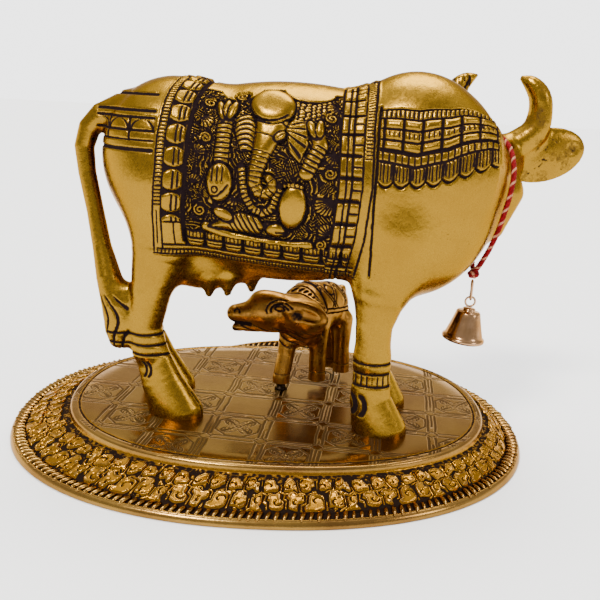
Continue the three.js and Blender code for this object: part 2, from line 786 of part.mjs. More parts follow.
function tubeAlong(curve, radius, sides, steps) {
  const options = { extrudePath: curve, steps, bevelEnabled: false };
  return new THREE.ExtrudeGeometry(roundSection(radius, sides), options);
}

// The route starts and ends on the knot's skin
function threadGeometry() {
  const route = threadRoute.map(scaled);
  const knot = scaled(knotPlace);
  const endBy = (next) => next.clone().sub(knot).setLength(knotThick / 2 + fit).add(knot);
  const curve = new THREE.CatmullRomCurve3([endBy(route[0]), ...route, endBy(route[route.length - 1])]);
  return tubeAlong(curve, threadThick / 2, 8, 32);
}

// The knot under the thread's two ends, where the wire hook goes through it
function knotGeometry() {
  const radius = knotThick / 2;
  const profile = [
    [0, -radius * 0.8], [radius * 0.62, -radius * 0.62], [radius * 0.8, 0],
    [radius * 0.5, radius * 0.56], [0, radius * 0.62],
  ].map(([out, up]) => new THREE.Vector2(out, up));
  return new THREE.LatheGeometry(profile, 10).rotateX(PI / 2);
}

// A long wire eye standing in the x-z plane, its middle at the origin
function hookGeometry() {
  const straight = (hookLength - hookWidth) / 2;
  const turn = hookWidth / 2 - hookWire / 2;
  const points = [];
  const sides = 20;
  for (let i = 0; i < sides; i += 1) {
    const angle = (2 * PI * i) / sides;
    points.push([turn * cos(angle), 0, turn * sin(angle) + straight * sign(sin(angle))]);
  }
  const curve = new THREE.CatmullRomCurve3(points.map((place) => new THREE.Vector3(...place)), true);
  return tubeAlong(curve, hookWire / 2, 6, 28);
}

// Bell about its axis, its cap's top at the origin and its mouth below
function bellGeometry() {
  const mouth = bellMouth / 2;
  const shoulder = bellShoulder / 2;
  const low = -bellCapHeight - bellHeight;
  const top = -bellCapHeight;
  const outer = [
    [0, 0],
    [bellCap / 2, 0],
    [bellCap / 2, top],
    [shoulder - 0.5, top],
    [shoulder, top - 0.6],
    [mix(shoulder, mouth, 0.42), mix(top, low, 0.5)],
    [mouth - bellLip * 1.1, low + bellLip * 2.6],
    [mouth - bellLip * 0.3, low + bellLip * 1.9],
    [mouth, low + bellLip],
    [mouth - bellLip * 0.4, low],
  ];
  const inner = [
    [mouth - bellLip - bellWall, low],
    [mix(shoulder, mouth, 0.42) - bellWall, mix(top, low, 0.5)],
    [shoulder - bellWall, top - bellWall - 0.5],
    [0, top - bellWall],
  ];
  const profile = [...outer, ...inner].reverse().map(([out, up]) => new THREE.Vector2(out, up));
  return new THREE.LatheGeometry(profile, 24).rotateX(PI / 2);
}

function ringGeometry() {
  const across = ringAcross / 2 - ringWire / 2;
  return new THREE.TorusGeometry(across, ringWire / 2, 6, 14);
}

function nutGeometry() {
  const high = calfLift - 2 * fit;
  return new THREE.CylinderGeometry(nutAcross / 2, nutAcross / 2, high, 6).rotateX(PI / 2);
}

function named(name, geometry, finish) {
  const mesh = new THREE.Mesh(geometry, new THREE.MeshStandardMaterial(finish));
  mesh.name = name;
  return mesh;
}

const statue = new THREE.Group();
statue.add(named('oval_plate', plateGeometry(), finishes.plate));

const cowGroup = new THREE.Group();
cowGroup.position.set(cowAhead, cowAside, floorHeight + fit);
cowGroup.rotation.z = radians(cowTurn);
const cowCell = 2.3;
const cowGeometry = figureGeometry(cowForm, cowCarving, [-96, -38, -17], [143, 88, 162], cowCell, cowFacets, scale);
cowGroup.add(named('cow', cowGeometry, finishes.gold));
cowGroup.add(named('neck_thread', threadGeometry(), finishes.cotton));

// The bell hangs in line below the knot: hook, ring, bell
const knot = named('thread_knot', knotGeometry(), finishes.cotton);
knot.position.copy(scaled(knotPlace));
cowGroup.add(knot);
const hook = named('wire_hook', hookGeometry(), finishes.nickel);
const hookTop = knot.position.z - knotThick * 0.4 - fit;
hook.position.set(knot.position.x, knot.position.y, hookTop - hookLength / 2);
hook.rotation.z = PI / 2;
cowGroup.add(hook);
const ring = named('bell_ring', ringGeometry(), finishes.nickel);
const ringTop = hookTop - hookLength + hookWire + fit + ringWire;
ring.position.set(hook.position.x, hook.position.y, ringTop - ringAcross / 2);
ring.rotation.x = PI / 2;
cowGroup.add(ring);
const bell = named('bell', bellGeometry(), finishes.nickel);
bell.position.set(ring.position.x, ring.position.y, ringTop - ringAcross - fit);
bell.rotation.y = radians(bellTilt);
cowGroup.add(bell);
statue.add(cowGroup);

const calfGroup = new THREE.Group();
calfGroup.position.set(calfAhead, calfAside, floorHeight + calfLift);
calfGroup.rotation.z = radians(calfTurn);
const calfScale = calfBack / calfDrawnBack;
const calfCell = 1.6;
const calfGeometry = figureGeometry(calfForm, calfCarving, [-32, -42, -8], [42, 24, 58], calfCell, calfFacets, calfScale);
calfGroup.add(named('calf', calfGeometry, finishes.gold));
const nut = named('calf_nut', nutGeometry(), finishes.steel);
nut.position.set(18.3 * calfScale, -5.6 * calfScale, -calfLift / 2);
calfGroup.add(nut);
statue.add(calfGroup);

export default statue;
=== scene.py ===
"""Looks of the cow and calf statue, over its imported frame.

The cast figures are rounded forms drawn in millimetres, each in a frame of its own, with their
carving worked out by relief functions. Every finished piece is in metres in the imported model's
frame.
"""

from __future__ import annotations

import logging
import math
from dataclasses import dataclass
from enum import Enum
from typing import Callable, ClassVar, Sequence

import bpy
import numpy as np
from mathutils import Matrix, Vector

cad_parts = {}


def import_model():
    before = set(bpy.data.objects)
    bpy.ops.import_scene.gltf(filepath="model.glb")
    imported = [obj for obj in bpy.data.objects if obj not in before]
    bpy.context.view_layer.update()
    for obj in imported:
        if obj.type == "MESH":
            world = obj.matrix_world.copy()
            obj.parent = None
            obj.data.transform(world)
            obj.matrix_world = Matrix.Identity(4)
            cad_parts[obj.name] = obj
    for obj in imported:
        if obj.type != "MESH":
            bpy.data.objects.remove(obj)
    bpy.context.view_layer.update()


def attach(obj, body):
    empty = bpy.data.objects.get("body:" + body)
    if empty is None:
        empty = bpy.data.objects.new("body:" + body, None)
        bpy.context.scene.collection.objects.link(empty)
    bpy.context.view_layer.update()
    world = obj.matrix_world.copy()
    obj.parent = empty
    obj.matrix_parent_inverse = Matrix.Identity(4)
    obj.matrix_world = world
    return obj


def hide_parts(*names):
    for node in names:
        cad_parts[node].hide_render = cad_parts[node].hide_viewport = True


log = logging.getLogger("statue")

Array = np.ndarray
Spot = tuple[float, float]
Line = Sequence[Spot]
Triple = tuple[float, float, float]
Link = tuple[float, float, float, float]
Faces = list[list[int]]
Net = tuple[Array, Faces]
Form = Callable[[Array], Array]
Socket = bpy.types.NodeSocket
Material = bpy.types.Material
Piece = bpy.types.Object
MM = 0.001


def cos_sin(degrees: float) -> Spot:
    """Cosine and sine of an angle."""
    return math.cos(math.radians(degrees)), math.sin(math.radians(degrees))


def full_turn(count: int) -> Array:
    """Even angles round a full turn."""
    return np.linspace(0, 2 * np.pi, count, endpoint=False)


# Sizes in millimetres, as in the solids


@dataclass(frozen=True)
class PlateSizes:
    """Driving sizes of the oval plate."""

    length: float = 240.0
    width: float = 195.6
    squareness: float = 2.17
    rim_height: float = 2.5
    floor_length: float = 195.0
    floor_width: float = 149.6
    floor_squareness: float = 2.28
    floor_ahead: float = 4.1
    floor_height: float = 14.16
    floor_step: float = 3.6
    edge_round: float = 1.6
    rope_width: float = 4.2
    lip_width: float = 2.4
    bent_rise: float = 8.5
    bent_width: float = 122.0
    bent_middle: float = 13.0


@dataclass(frozen=True)
class Place:
    """A turn about the upright and a shift, from a figure's own frame to the plate's."""

    turn: float
    offset: Triple

    def carry(self, points: Array) -> Array:
        """Points of the figure's frame, in the plate's frame.

        Args:
            points: rows of x, y and z in millimetres.

        Returns:
            The same rows in the plate's frame.
        """
        c, s = cos_sin(self.turn)
        x, y, z = points.T
        return np.stack([c * x - s * y, s * x + c * y, z], axis=1) + np.asarray(self.offset)


PLATE = PlateSizes()
TOUCH = 0.3
COW_PLACE = Place(-6.5, (-1.7, -14.9, PLATE.floor_height + TOUCH))
CALF_PLACE = Place(-130.0, (21.2, 18.7, PLATE.floor_height + 3.9))


# Rounded forms


def smooth_route(points: Array, steps: int) -> Array:
    """A smooth line through points, with spans as even as the points are.

    Args:
        points: the points that it runs through.
        steps: places drawn for each span.

    Returns:
        The places, and the last point.
    """
    p = np.concatenate([[2 * points[0] - points[1]], points, [2 * points[-1] - points[-2]]])
    drawn = []
    for i in range(1, len(p) - 2):
        a, b, c, d = p[i - 1 : i + 3]
        ab, bc, cd = (max(np.linalg.norm(w - v) ** 0.5, 1e-4) for v, w in ((a, b), (b, c), (c, d)))
        start = ((b - a) / ab - (c - a) / (ab + bc) + (c - b) / bc) * bc
        end = ((c - b) / bc - (d - b) / (bc + cd) + (d - c) / cd) * bc
        s = (np.arange(steps) / steps)[:, None]
        drawn.append(
            (2 * s**3 - 3 * s**2 + 1) * b
            + (s**3 - 2 * s**2 + s) * start
            + (3 * s**2 - 2 * s**3) * c
            + (s**3 - s**2) * end
        )
    return np.concatenate([*drawn, p[-2][None]])


@dataclass(frozen=True)
class Ball:
    """An ellipsoid, its long axis turned about the upright and then lifted by the tilt."""

    centre: Triple
    radii: Triple
    tilt: float = 0.0
    turn: float = 0.0

    def __call__(self, p: Array) -> Array:
        """Distance from the skin at each place, negative inside.

        Args:
            p: rows of x, y and z.

        Returns:
            One distance for each row.
        """
        ct, st = cos_sin(self.turn)
        cp, sp = cos_sin(self.tilt)
        dx, dy, dz = (p - np.asarray(self.centre)).T
        rx, ry, rz = self.radii
        flat = ct * dx + st * dy
        x = (cp * flat + sp * dz) / rx
        y = (ct * dy - st * dx) / ry
        z = (cp * dz - sp * flat) / rz
        near = np.sqrt(x * x + y * y + z * z)
        steep = np.sqrt((x / rx) ** 2 + (y / ry) ** 2 + (z / rz) ** 2)
        return near * (near - 1.0) / np.maximum(steep, 1e-6)


@dataclass(frozen=True)
class Limb:
    """A chain of tapered links through (x, y, z, radius) points, narrowed across y by flat."""

    points: Sequence[Link]
    flat: float = 1.0

    def __call__(self, p: Array) -> Array:
        """Distance from the skin at each place, negative inside.

        Args:
            p: rows of x, y and z.

        Returns:
            One distance for each row.
        """
        squash = np.array([1.0, 1.0 / self.flat, 1.0])
        q = p * squash
        nearest = np.full(len(p), np.inf)
        for start, end in zip(self.points, self.points[1:]):
            a, b = np.asarray(start[:3]) * squash, np.asarray(end[:3]) * squash
            d = b - a
            share = np.clip((q - a) @ d / (d @ d), 0.0, 1.0)
            gap = np.linalg.norm(q - a - share[:, None] * d, axis=1)
            nearest = np.minimum(nearest, gap - start[3] - (end[3] - start[3]) * share)
        return nearest * self.flat


def smoothed(points: Sequence[Link], steps: int = 4) -> list[Link]:
    """The points of a limb, with rounder bends between them."""
    return [tuple(point) for point in smooth_route(np.array(points, float), steps)]


@dataclass(frozen=True)
class Step:
    """One form melted onto those before it, or scooped out of them."""

    form: Form
    blend: float = 1.0
    cut: bool = False


def blended(a: Array, b: Array, blend: float) -> Array:
    """The union of two forms with a soft joint as wide as the blend."""
    near = np.maximum(blend - np.abs(a - b), 0.0) / blend
    return np.minimum(a, b) - near * near * blend / 4.0


@dataclass(frozen=True)
class Melt:
    """Forms melted into one another in turn."""

    steps: Sequence[Step]

    def __call__(self, p: Array) -> Array:
        """Distance from the skin at each place, negative inside.

        Args:
            p: rows of x, y and z.

        Returns:
            One distance for each row.
        """
        value = self.steps[0].form(p)
        for step in self.steps[1:]:
            other = step.form(p)
            if step.cut:
                value = -blended(-value, other, step.blend)
            else:
                value = blended(value, other, step.blend)
        return value


# The cow, in her own frame: x forward, y to her left, z up from the hooves


def cow_legs() -> list[Step]:
    """Four legs; the far pair stands a little behind the near one.

    Returns:
        The forms, in the order in which they are melted on.
    """
    steps = []
    for side in (-1, 1):
        back, front = (-11.0, 0.5) if side > 0 else (0.0, 0.0)
        thigh = [
            (-45, side * 9, 100, 19),
            (-46.3, side * 13, 75, 13),
            (-50.3 + back * 0.4, side * 16, 56, 8.8),
            (-52.8 + back * 0.7, side * 16, 40, 7.2),
            (-51.5 + back, side * 16, 30, 7),
        ]
        hind_hoof = [
            (-51.5 + back, side * 16, 32, 6.8),
            (-45 + back, side * 16, 14, 9.4),
            (-38.5 + back, side * 16, 0, 12.2),
        ]
        foreleg = [
            (55 + front, side * 10, 84, 17),
            (48.6 + front, side * 14, 62, 11.8),
            (47 + front, side * 16.5, 48, 7.9),
            (47.2 + front, side * 16.5, 32, 7.2),
        ]
        fore_hoof = [
            (47.2 + front, side * 17, 33, 7.4),
            (47.8 + front, side * 17, 14, 9),
            (52.5 + front, side * 17, 0, 12),
        ]
        steps += [
            Step(Limb(thigh), 9),
            Step(Limb(hind_hoof, 0.66), 3),
            Step(Limb(foreleg), 9),
            Step(Limb(fore_hoof, 0.66), 3),
        ]
    return steps


def cow_tail() -> Step:
    """The tail from the rump down to its tuft.

    Returns:
        The form, and how softly it joins.
    """
    return Step(
        Limb(
            [
                (-65, 0, 131.5, 8),
                (-76, -1, 128.5, 5.4),
                (-81.5, -2, 123, 4.6),
                (-83.6, -3, 115, 4.2),
                (-82, -4.5, 104, 3.8),
                (-77.8, -7, 88, 3.7),
                (-74, -10, 73, 4.1),
                (-70, -13, 60, 5.5),
                (-66, -15, 48, 6.5),
                (-64.6, -16, 38, 6.2),
                (-64.2, -16, 34, 5.4),
            ]
        ),
        4,
    )


HEAD_AHEAD = 95


def cow_head() -> list[Step]:
    """Neck and head, which faces her left, with muzzle, mouth, horns, ears, eyes and nostrils.

    Returns:
        The forms, in the order in which they are melted on.
    """
    steps = [
        Step(Limb([(74, 1, 114, 25), (88, 14, 111.5, 15.5), (95, 30, 114, 13)]), 8),
        Step(Limb([(98, 6, 105, 8.5), (94.5, 3, 90.5, 5.2)]), 6),
        Step(Ball((95, 38, 115.4), (14, 17, 12.8)), 6),
        Step(Limb([(95, 42, 115, 11.5), (95, 62, 105, 8.6), (95, 70, 101, 7.6)]), 5),
        Step(Ball((95, 73, 101.5), (8.6, 5, 7)), 3),
        Step(Limb([(86, 76.5, 97.8, 0.5), (95, 79, 97.2, 0.7), (104, 76.5, 97.8, 0.5)]), 0.5, cut=True),
    ]
    for side in (1, -1):

        def at(out: float, side: int = side) -> float:
            """How far ahead a place is that lies so far out from the head's middle."""
            return HEAD_AHEAD + side * out

        sweep, ear_y, ear_long, horn_y = (14, 37.5, 20.4, 34) if side > 0 else (-30, 41, 20.2, 36.8)
        horn = [
            (at(9), horn_y, 122.6, 6.8),
            (at(18.2), horn_y, 130.3, 6.2),
            (at(20), horn_y, 139, 5.4),
            (at(18.8), horn_y, 146, 4.9),
            (at(14.9), horn_y + 0.5, 151, 3.6),
            (at(9.8), horn_y + 1, 153.8, 0.9),
        ]
        steps += [
            Step(Limb(smoothed(horn)), 3),
            Step(Ball((at(24.3), ear_y, 119.9), (ear_long, 3.6, 12.2), 13 * side, sweep), 3),
            Step(Ball((at(26), ear_y + 4.7, 120.6), (13, 3, 7.5), 13 * side, sweep), 1.5, cut=True),
            Step(Ball((at(11.4), 49, 119), (3, 5, 4.2)), 2),
            Step(Ball((at(12.6), 50, 118.2), (2.2, 3.2, 2.4)), 0.5),
            Step(Ball((at(4.2), 78.2, 103.6), (1.6, 1.8, 1.5)), 0.8, cut=True),
        ]
    return steps


def cow_form() -> Melt:
    """The whole cow without her carving.

    Returns:
        The form in the cow's own frame.
    """
    teats = [(-26.4, -8, 55.6), (-18.2, -8, 56.4), (-30, 8, 56), (-8.8, 0, 57)]
    return Melt(
        [
            Step(Ball((-43, 0, 113.5), (32.5, 27, 33))),
            Step(Ball((6, 0, 103.5), (76, 28, 42)), 8),
            Step(Ball((58, 0, 105.5), (38.5, 27, 47.5)), 8),
            *cow_legs(),
            cow_tail(),
            Step(Limb([(-62.5, -14.5, 54, 4.2), (-60, -15.5, 42, 5)]), 4),
            *cow_head(),
            Step(Ball((-30, 0, 66), (21, 13.5, 11.2)), 8),
            *[Step(Limb([(x, y, z + 6, 4.6), (x, y, z - 1, 1.7)]), 2.5) for x, y, z in teats],
        ]
    )


# The calf, in its own frame, its head turned to its right


CALF_HEAD_AHEAD = 17.0
CALF_HEAD_TURN = -50.0


@dataclass(frozen=True)
class Turned:
    """A form carried ahead along x and turned about the upright."""

    form: Form
    ahead: float
    turn: float

    def __call__(self, p: Array) -> Array:
        """Distance from the skin at each place, negative inside.

        Args:
            p: rows of x, y and z.

        Returns:
            One distance for each row.
        """
        c, s = cos_sin(self.turn)
        x, y, z = p[:, 0] - self.ahead, p[:, 1], p[:, 2]
        return self.form(np.stack([c * x + s * y, c * y - s * x, z], axis=1))


def calf_head() -> Melt:
    """Neck and head of the calf, looking along its own x.

    Returns:
        The form in the head's own frame.
    """
    steps = [
        Step(Limb([(-7, 3, 35, 9), (4, 0, 37, 8)])),
        Step(Ball((11.5, 0, 37.5), (10, 7.2, 9.2)), 3),
        Step(Ball((16.5, 0, 41.5), (5.5, 5, 5)), 3),
        Step(Limb([(16, 0, 36.2, 6.8), (28.4, 0, 35, 4.3)]), 3),
        Step(Limb([(8, 0, 31, 5), (28.2, 0, 27.9, 1.9)]), 2),
    ]
    for side in (1, -1):
        steps += [
            Step(Ball((-4.5, side * 8.7, 38.4), (11.5, 2.5, 5.4), 18), 2),
            Step(Ball((-4, side * 11.3, 38.8), (7.5, 0.9, 2.6), 18), 0.8, cut=True),
            Step(Ball((7.6, side * 6.9, 40.2), (2.4, 1.4, 1.5)), 0.6),
            Step(Ball((31.2, side * 2.6, 36.4), (1.1, 0.8, 0.9)), 0.4, cut=True),
        ]
    return Melt(steps)


def calf_form() -> Melt:
    """The whole calf without its carving.

    Returns:
        The form in the calf's own frame.
    """
    legs = [(13.5, -5.6, 26, 18.3), (3.5, 4.6, 28, 2.7), (-15.5, 5.6, 28, -16.5), (-15, -3.8, 28, -19)]
    steps = [
        Step(Ball((-3, 0, 36), (18.5, 10, 12))),
        Step(Ball((9.5, 0, 32), (9.5, 9.2, 14)), 5),
        Step(Ball((5, -4, 38.6), (9, 9.5, 9.8)), 4),
    ]
    for x, y, top, foot in legs:
        middle = x + 0.4 * (foot - x)
        leg = [(x, y, top, 5.2), (middle, y, 14, 4.1), (foot, y, 2.5, 4.2), (foot, y, 0, 4.3)]
        steps.append(Step(Limb(leg), 3.5))
    tail = Limb([(-20.5, 0, 42, 2.4), (-23, 0, 36, 1.8), (-22.5, 0, 24, 2.2)])
    head = Turned(calf_head(), CALF_HEAD_AHEAD, CALF_HEAD_TURN)
    return Melt([*steps, Step(head, 4), Step(tail, 1.5)])


# Skins


BLOCK = 4


def lattice_values(form: Form, low: Array, counts: Array, cell: float) -> Array:
    """The form on a lattice, where a block well clear of the skin takes the value of its middle.

    Args:
        form: the form, negative inside.
        low: lowest corner of the lattice.
        counts: places along each axis.
        cell: edge of a lattice cell.

    Returns:
        The value at each place of the lattice.
    """
    axes = [low[a] + cell * np.arange(counts[a]) for a in range(3)]
    middles = np.meshgrid(*[axis[::BLOCK] + cell * BLOCK / 2 for axis in axes], indexing="ij")
    coarse = form(np.stack([m.ravel() for m in middles], axis=1)).reshape(middles[0].shape)
    values, near = coarse, np.abs(coarse) < BLOCK * cell * 1.2
    for axis in range(3):
        values, near = np.repeat(values, BLOCK, axis), np.repeat(near, BLOCK, axis)
    at = np.argwhere(near)
    for part in np.array_split(at, max(1, len(at) // 60000)):
        values[tuple(part.T)] = form(low + cell * part)
    return values


def crossings(values: Array, cells: Array) -> Array:
    """For each cell, the middle of the places where the skin crosses its edges, from its low corner.

    Args:
        values: the form's values on the lattice.
        cells: the cells that the skin crosses.

    Returns:
        One place for each cell, in shares of its edge.
    """
    total = np.zeros((len(cells), 3))
    count = np.zeros(len(cells))
    corners = [np.array([c & 1, (c >> 1) & 1, (c >> 2) & 1]) for c in range(8)]
    at = [values[tuple((cells + corner).T)] for corner in corners]
    for a in range(8):
        for bit in (1, 2, 4):
            if a & bit:
                continue
            b = a | bit
            cross = (at[a] < 0) != (at[b] < 0)
            share = np.where(cross, at[a] / np.where(cross, at[a] - at[b], 1.0), 0.0)
            place = corners[a] + share[:, None] * (corners[b] - corners[a])
            total += np.where(cross[:, None], place, 0.0)
            count += cross
    return total / count[:, None]


def lattice_skin(form: Form, low: Triple, high: Triple, cell: float) -> tuple[Array, Array]:
    """A closed triangle net with one point for each lattice cell that the skin crosses.

    Args:
        form: the form, negative inside.
        low: lowest corner of the lattice.
        high: highest corner of the lattice.
        cell: edge of a lattice cell.

    Returns:
        The points, and the triangles facing out.
    """
    base = np.asarray(low, float)
    counts = np.ceil((np.asarray(high) - base) / cell / BLOCK).astype(int) * BLOCK
    values = lattice_values(form, base, counts, cell)
    inside = values < 0
    total = sum(
        inside[i : counts[0] - 1 + i, j : counts[1] - 1 + j, k : counts[2] - 1 + k].astype(int)
        for i in (0, 1)
        for j in (0, 1)
        for k in (0, 1)
    )
    active = (total > 0) & (total < 8)
    cells = np.argwhere(active)
    number = np.full(active.shape, -1)
    number[active] = np.arange(len(cells))
    points = base + cell * (cells + crossings(values, cells))
    faces = []
    for axis in range(3):
        u, v = np.eye(3, dtype=int)[(axis + 1) % 3], np.eye(3, dtype=int)[(axis + 2) % 3]
        last = np.delete(inside, -1, axis)
        edges = np.argwhere(last != np.delete(inside, 0, axis))
        quads = np.stack([number[tuple((edges - shift).T)] for shift in (u + v, v, 0 * u, u)], axis=1)
        flip = ~last[tuple(edges.T)]
        quads[flip] = quads[flip][:, ::-1]
        faces += [quads[:, [0, 1, 2]], quads[:, [0, 2, 3]]]
    return points, np.concatenate(faces)


def split_long_edges(points: Array, faces: Array, want: Form) -> tuple[Array, Array]:
    """Halves each edge that is longer than wanted at its middle, and keeps the net closed.

    Args:
        points: the net's points.
        faces: its triangles.
        want: longest edge wanted at each place.

    Returns:
        The points and triangles of the finer net.
    """
    ends = np.sort(faces[:, [[0, 1], [1, 2], [2, 0]]].reshape(-1, 2), axis=1)
    keys, inverse = np.unique(ends[:, 0] * len(points) + ends[:, 1], return_inverse=True)
    a, b = keys // len(points), keys % len(points)
    middles = (points[a] + points[b]) / 2
    marked = np.linalg.norm(points[a] - points[b], axis=1) > want(middles)
    number = np.where(marked, len(points) + np.cumsum(marked) - 1, -1)
    halves = number[inverse].reshape(-1, 3)
    count = (halves >= 0).sum(axis=1)
    lone, missing = np.argmax(halves >= 0, axis=1), np.argmin(halves >= 0, axis=1)
    first = np.where(count == 1, lone, (missing + 1) % 3)
    turn = (first[:, None] + np.arange(3)) % 3
    corner = np.take_along_axis(faces, turn, axis=1)
    half = np.take_along_axis(halves, turn, axis=1)
    one, two, three = (np.concatenate([corner, half], axis=1)[count == n] for n in (1, 2, 3))
    pieces = [
        faces[count == 0],
        one[:, [0, 3, 2]],
        one[:, [3, 1, 2]],
        two[:, [3, 1, 4]],
        two[:, [0, 3, 4]],
        two[:, [0, 4, 2]],
        three[:, [0, 3, 5]],
        three[:, [3, 1, 4]],
        three[:, [5, 4, 2]],
        three[:, [3, 4, 5]],
    ]
    return np.concatenate([points, middles[marked]]), np.concatenate(pieces)


def settle(form: Form, points: Array, rounds: int) -> Array:
    """Draws points near a form onto its skin.

    Args:
        form: the form, negative inside.
        points: points near its skin.
        rounds: how often each is moved.

    Returns:
        The points on the skin.
    """
    step = 0.08
    for _ in range(rounds):
        value = form(points)
        slopes = [(form(points + shift) - value) / step for shift in np.eye(3) * step]
        gradient = np.stack(slopes, axis=1)
        steep = np.maximum(np.linalg.norm(gradient, axis=1), 0.3)
        off = np.clip(value / steep, -1.5, 1.5)
        points = points - gradient * (off / steep)[:, None]
    return points


def point_normals(points: Array, faces: Array) -> Array:
    """Unit normals of a triangle net at its points, each face by its area.

    Args:
        points: the net's points.
        faces: its triangles.

    Returns:
        One normal for each point.
    """
    corners = points[faces]
    across = np.cross(corners[:, 1] - corners[:, 0], corners[:, 2] - corners[:, 0])
    total = np.zeros_like(points)
    for corner in range(3):
        for axis in range(3):
            total[:, axis] += np.bincount(faces[:, corner], across[:, axis], len(points))
    return total / np.maximum(np.linalg.norm(total, axis=1), 1e-12)[:, None]


CREVICE_REACHES = ((1.5, 0.4), (4.0, 0.35), (9.0, 0.25))


def crevice_shade(form: Form, points: Array, normals: Array) -> Array:
    """Painted shade at each point: how closed in it is by the form around it, and how far it faces down,
    from 0 in the open to 1 in a tight corner.

    Args:
        form: the form, negative inside.
        points: points on its skin.
        normals: the skin's normals there.

    Returns:
        One value for each point.
    """
    # Painted shade: faces turned down count as shaded, and each probe out from the skin that lands near
    # or inside the form adds more.
    hollow_shade = 0.3 * np.clip(-normals[:, 2] - 0.1, 0, 1)
    for out, weight in CREVICE_REACHES:
        hollow_shade += weight * np.clip(1 - form(points + normals * out) / out, 0, 1)
    return hollow_shade


# Carving


def noise(x: Array, y: Array, seed: int) -> Array:
    """Smooth noise from 0 to 1 with bumps about one unit across.

    Args:
        x: first coordinate of each place.
        y: second coordinate of each place.
        seed: the pattern's number.

    Returns:
        One value for each place.
    """

    def at(i: Array, j: Array) -> Array:
        """A number from 0 to 1 for each corner of the noise's grid."""
        mixed = np.sin(i * 127.1 + j * 311.7 + seed * 74.7) * 43758.5453
        return mixed - np.floor(mixed)

    i, j = np.floor(x), np.floor(y)
    u, v = x - i, y - j
    u, v = u * u * (3 - 2 * u), v * v * (3 - 2 * v)
    low = at(i, j) * (1 - u) + at(i + 1, j) * u
    high = at(i, j + 1) * (1 - u) + at(i + 1, j + 1) * u
    return low * (1 - v) + high * v


def from_line(points: Line, x: Array, t: Array) -> tuple[Array, Array]:
    """Distance from a drawn line, and how far along it the nearest place is.

    Args:
        points: the line's corners.
        x: first flat coordinate of each place.
        t: second flat coordinate of each place.

    Returns:
        The distance at each place, and the length of line run through up to it.
    """
    nearest = np.full(len(x), np.inf)
    along = np.zeros(len(x))
    start = 0.0
    for (ax, at), (bx, bt) in zip(points, points[1:]):
        dx, dt = bx - ax, bt - at
        length = math.hypot(dx, dt)
        share = np.clip(((x - ax) * dx + (t - at) * dt) / length**2, 0, 1)
        gap = np.hypot(x - ax - share * dx, t - at - share * dt)
        along = np.where(gap < nearest, start + share * length, along)
        nearest = np.minimum(nearest, gap)
        start += length
    return nearest, along


def in_outline(points: Line, x: Array, t: Array) -> Array:
    """Distance inside a drawn outline, negative outside.

    Args:
        points: the outline's corners.
        x: first flat coordinate of each place.
        t: second flat coordinate of each place.

    Returns:
        The distance at each place.
    """
    gap, _ = from_line([*points, points[0]], x, t)
    inside = np.zeros(len(x), bool)
    for (ax, at), (bx, bt) in zip(points, [*points[1:], points[0]]):
        spans = (at > t) != (bt > t)
        inside ^= spans & (x < (bx - ax) * (t - at) / (bt - at if bt != at else 1e-9) + ax)
    return np.where(inside, gap, -gap)


def ledge(inside: Array, soft: float) -> Array:
    """From 0 outside to 1 inside over a soft edge."""
    return np.clip(inside / soft + 0.5, 0, 1)


def within(value: Array, low: float, high: float) -> Array:
    """Distance inside a range, negative outside."""
    return np.minimum(value - low, high - value)


def between(value: Array, low: float, high: float, soft: float) -> Array:
    """From 0 outside a range to 1 inside it over soft edges."""
    return ledge(within(value, low, high), soft)


def wave(value: Array, pitch: float) -> Array:
    """Distance from the nearest multiple of the pitch."""
    return np.abs(value - pitch * np.round(value / pitch))


class Carving:
    """Height and patina of a carved skin, built up mark by mark over flat coordinates."""

    def __init__(self, x: Array, t: Array) -> None:
        """Starts with plain skin at the flat coordinates x and t.

        Args:
            x: first flat coordinate of each place.
            t: second flat coordinate of each place.
        """
        self.x = x
        self.t = t
        self.height = np.zeros_like(x)
        self.patina = np.zeros_like(x)

    def groove(self, gap: Array, width: float, depth: float, where: Array | None = None) -> None:
        """A dark groove.

        Args:
            gap: distance from its middle line.
            width: its whole width.
            depth: how deep it goes.
            where: the part of the skin that has it, from 0 to 1.
        """
        mark = np.clip(1.25 - np.abs(gap) / (width / 2), 0, 1)
        if where is not None:
            mark = mark * where
        self.height -= depth * mark
        self.stain(mark)

    def stain(self, mark: Array) -> None:
        """Darkens the skin where the mark is darker than the patina already there."""
        self.patina = np.maximum(self.patina, mark)

    def ground(self, inside: Array, height: float, soft: float = 0.6) -> None:
        """Lifts or lowers an area with a crisp edge."""
        self.height += height * ledge(inside, soft)

    def pad(self, inside: Array, base: float, rise: float, rounding: float, rim: float = 0.55) -> None:
        """A raised rounded shape with a dark rim that covers whatever was carved under it.

        Args:
            inside: distance inside its outline, negative outside.
            base: height of its edge.
            rise: how much higher its middle is.
            rounding: how far in the rounding goes.
            rim: width of the dark rim around it.
        """
        share = np.clip(inside / rounding, 0, 1)
        top = base + rise * np.sqrt(np.maximum(1 - (1 - share) ** 2, 0))
        over = inside > 0
        self.height = np.where(over, np.maximum(top, base), self.height)
        self.patina = np.where(over, np.clip(1 - inside / 0.45, 0, 1) * 0.75, self.patina)
        dark = np.clip(1 + inside / rim, 0, 1) * ~over
        self.stain(dark)
        self.height -= 0.25 * dark


FLANK_MIDDLE = 103.5
FLANK_TALL = 42
FLANK_WIDE = 28


def flank(points: Array) -> tuple[Array, Array]:
    """The cow's side drawn flat: forward, and up the side and over the back.

    Args:
        points: points on the skin, in the cow's frame.

    Returns:
        The two flat coordinates.
    """
    up = points[:, 2] - FLANK_MIDDLE
    over = FLANK_TALL * np.arctan2(up, np.abs(points[:, 1]) * FLANK_TALL / FLANK_WIDE)
    return points[:, 0], np.where(up < 0, up, over)


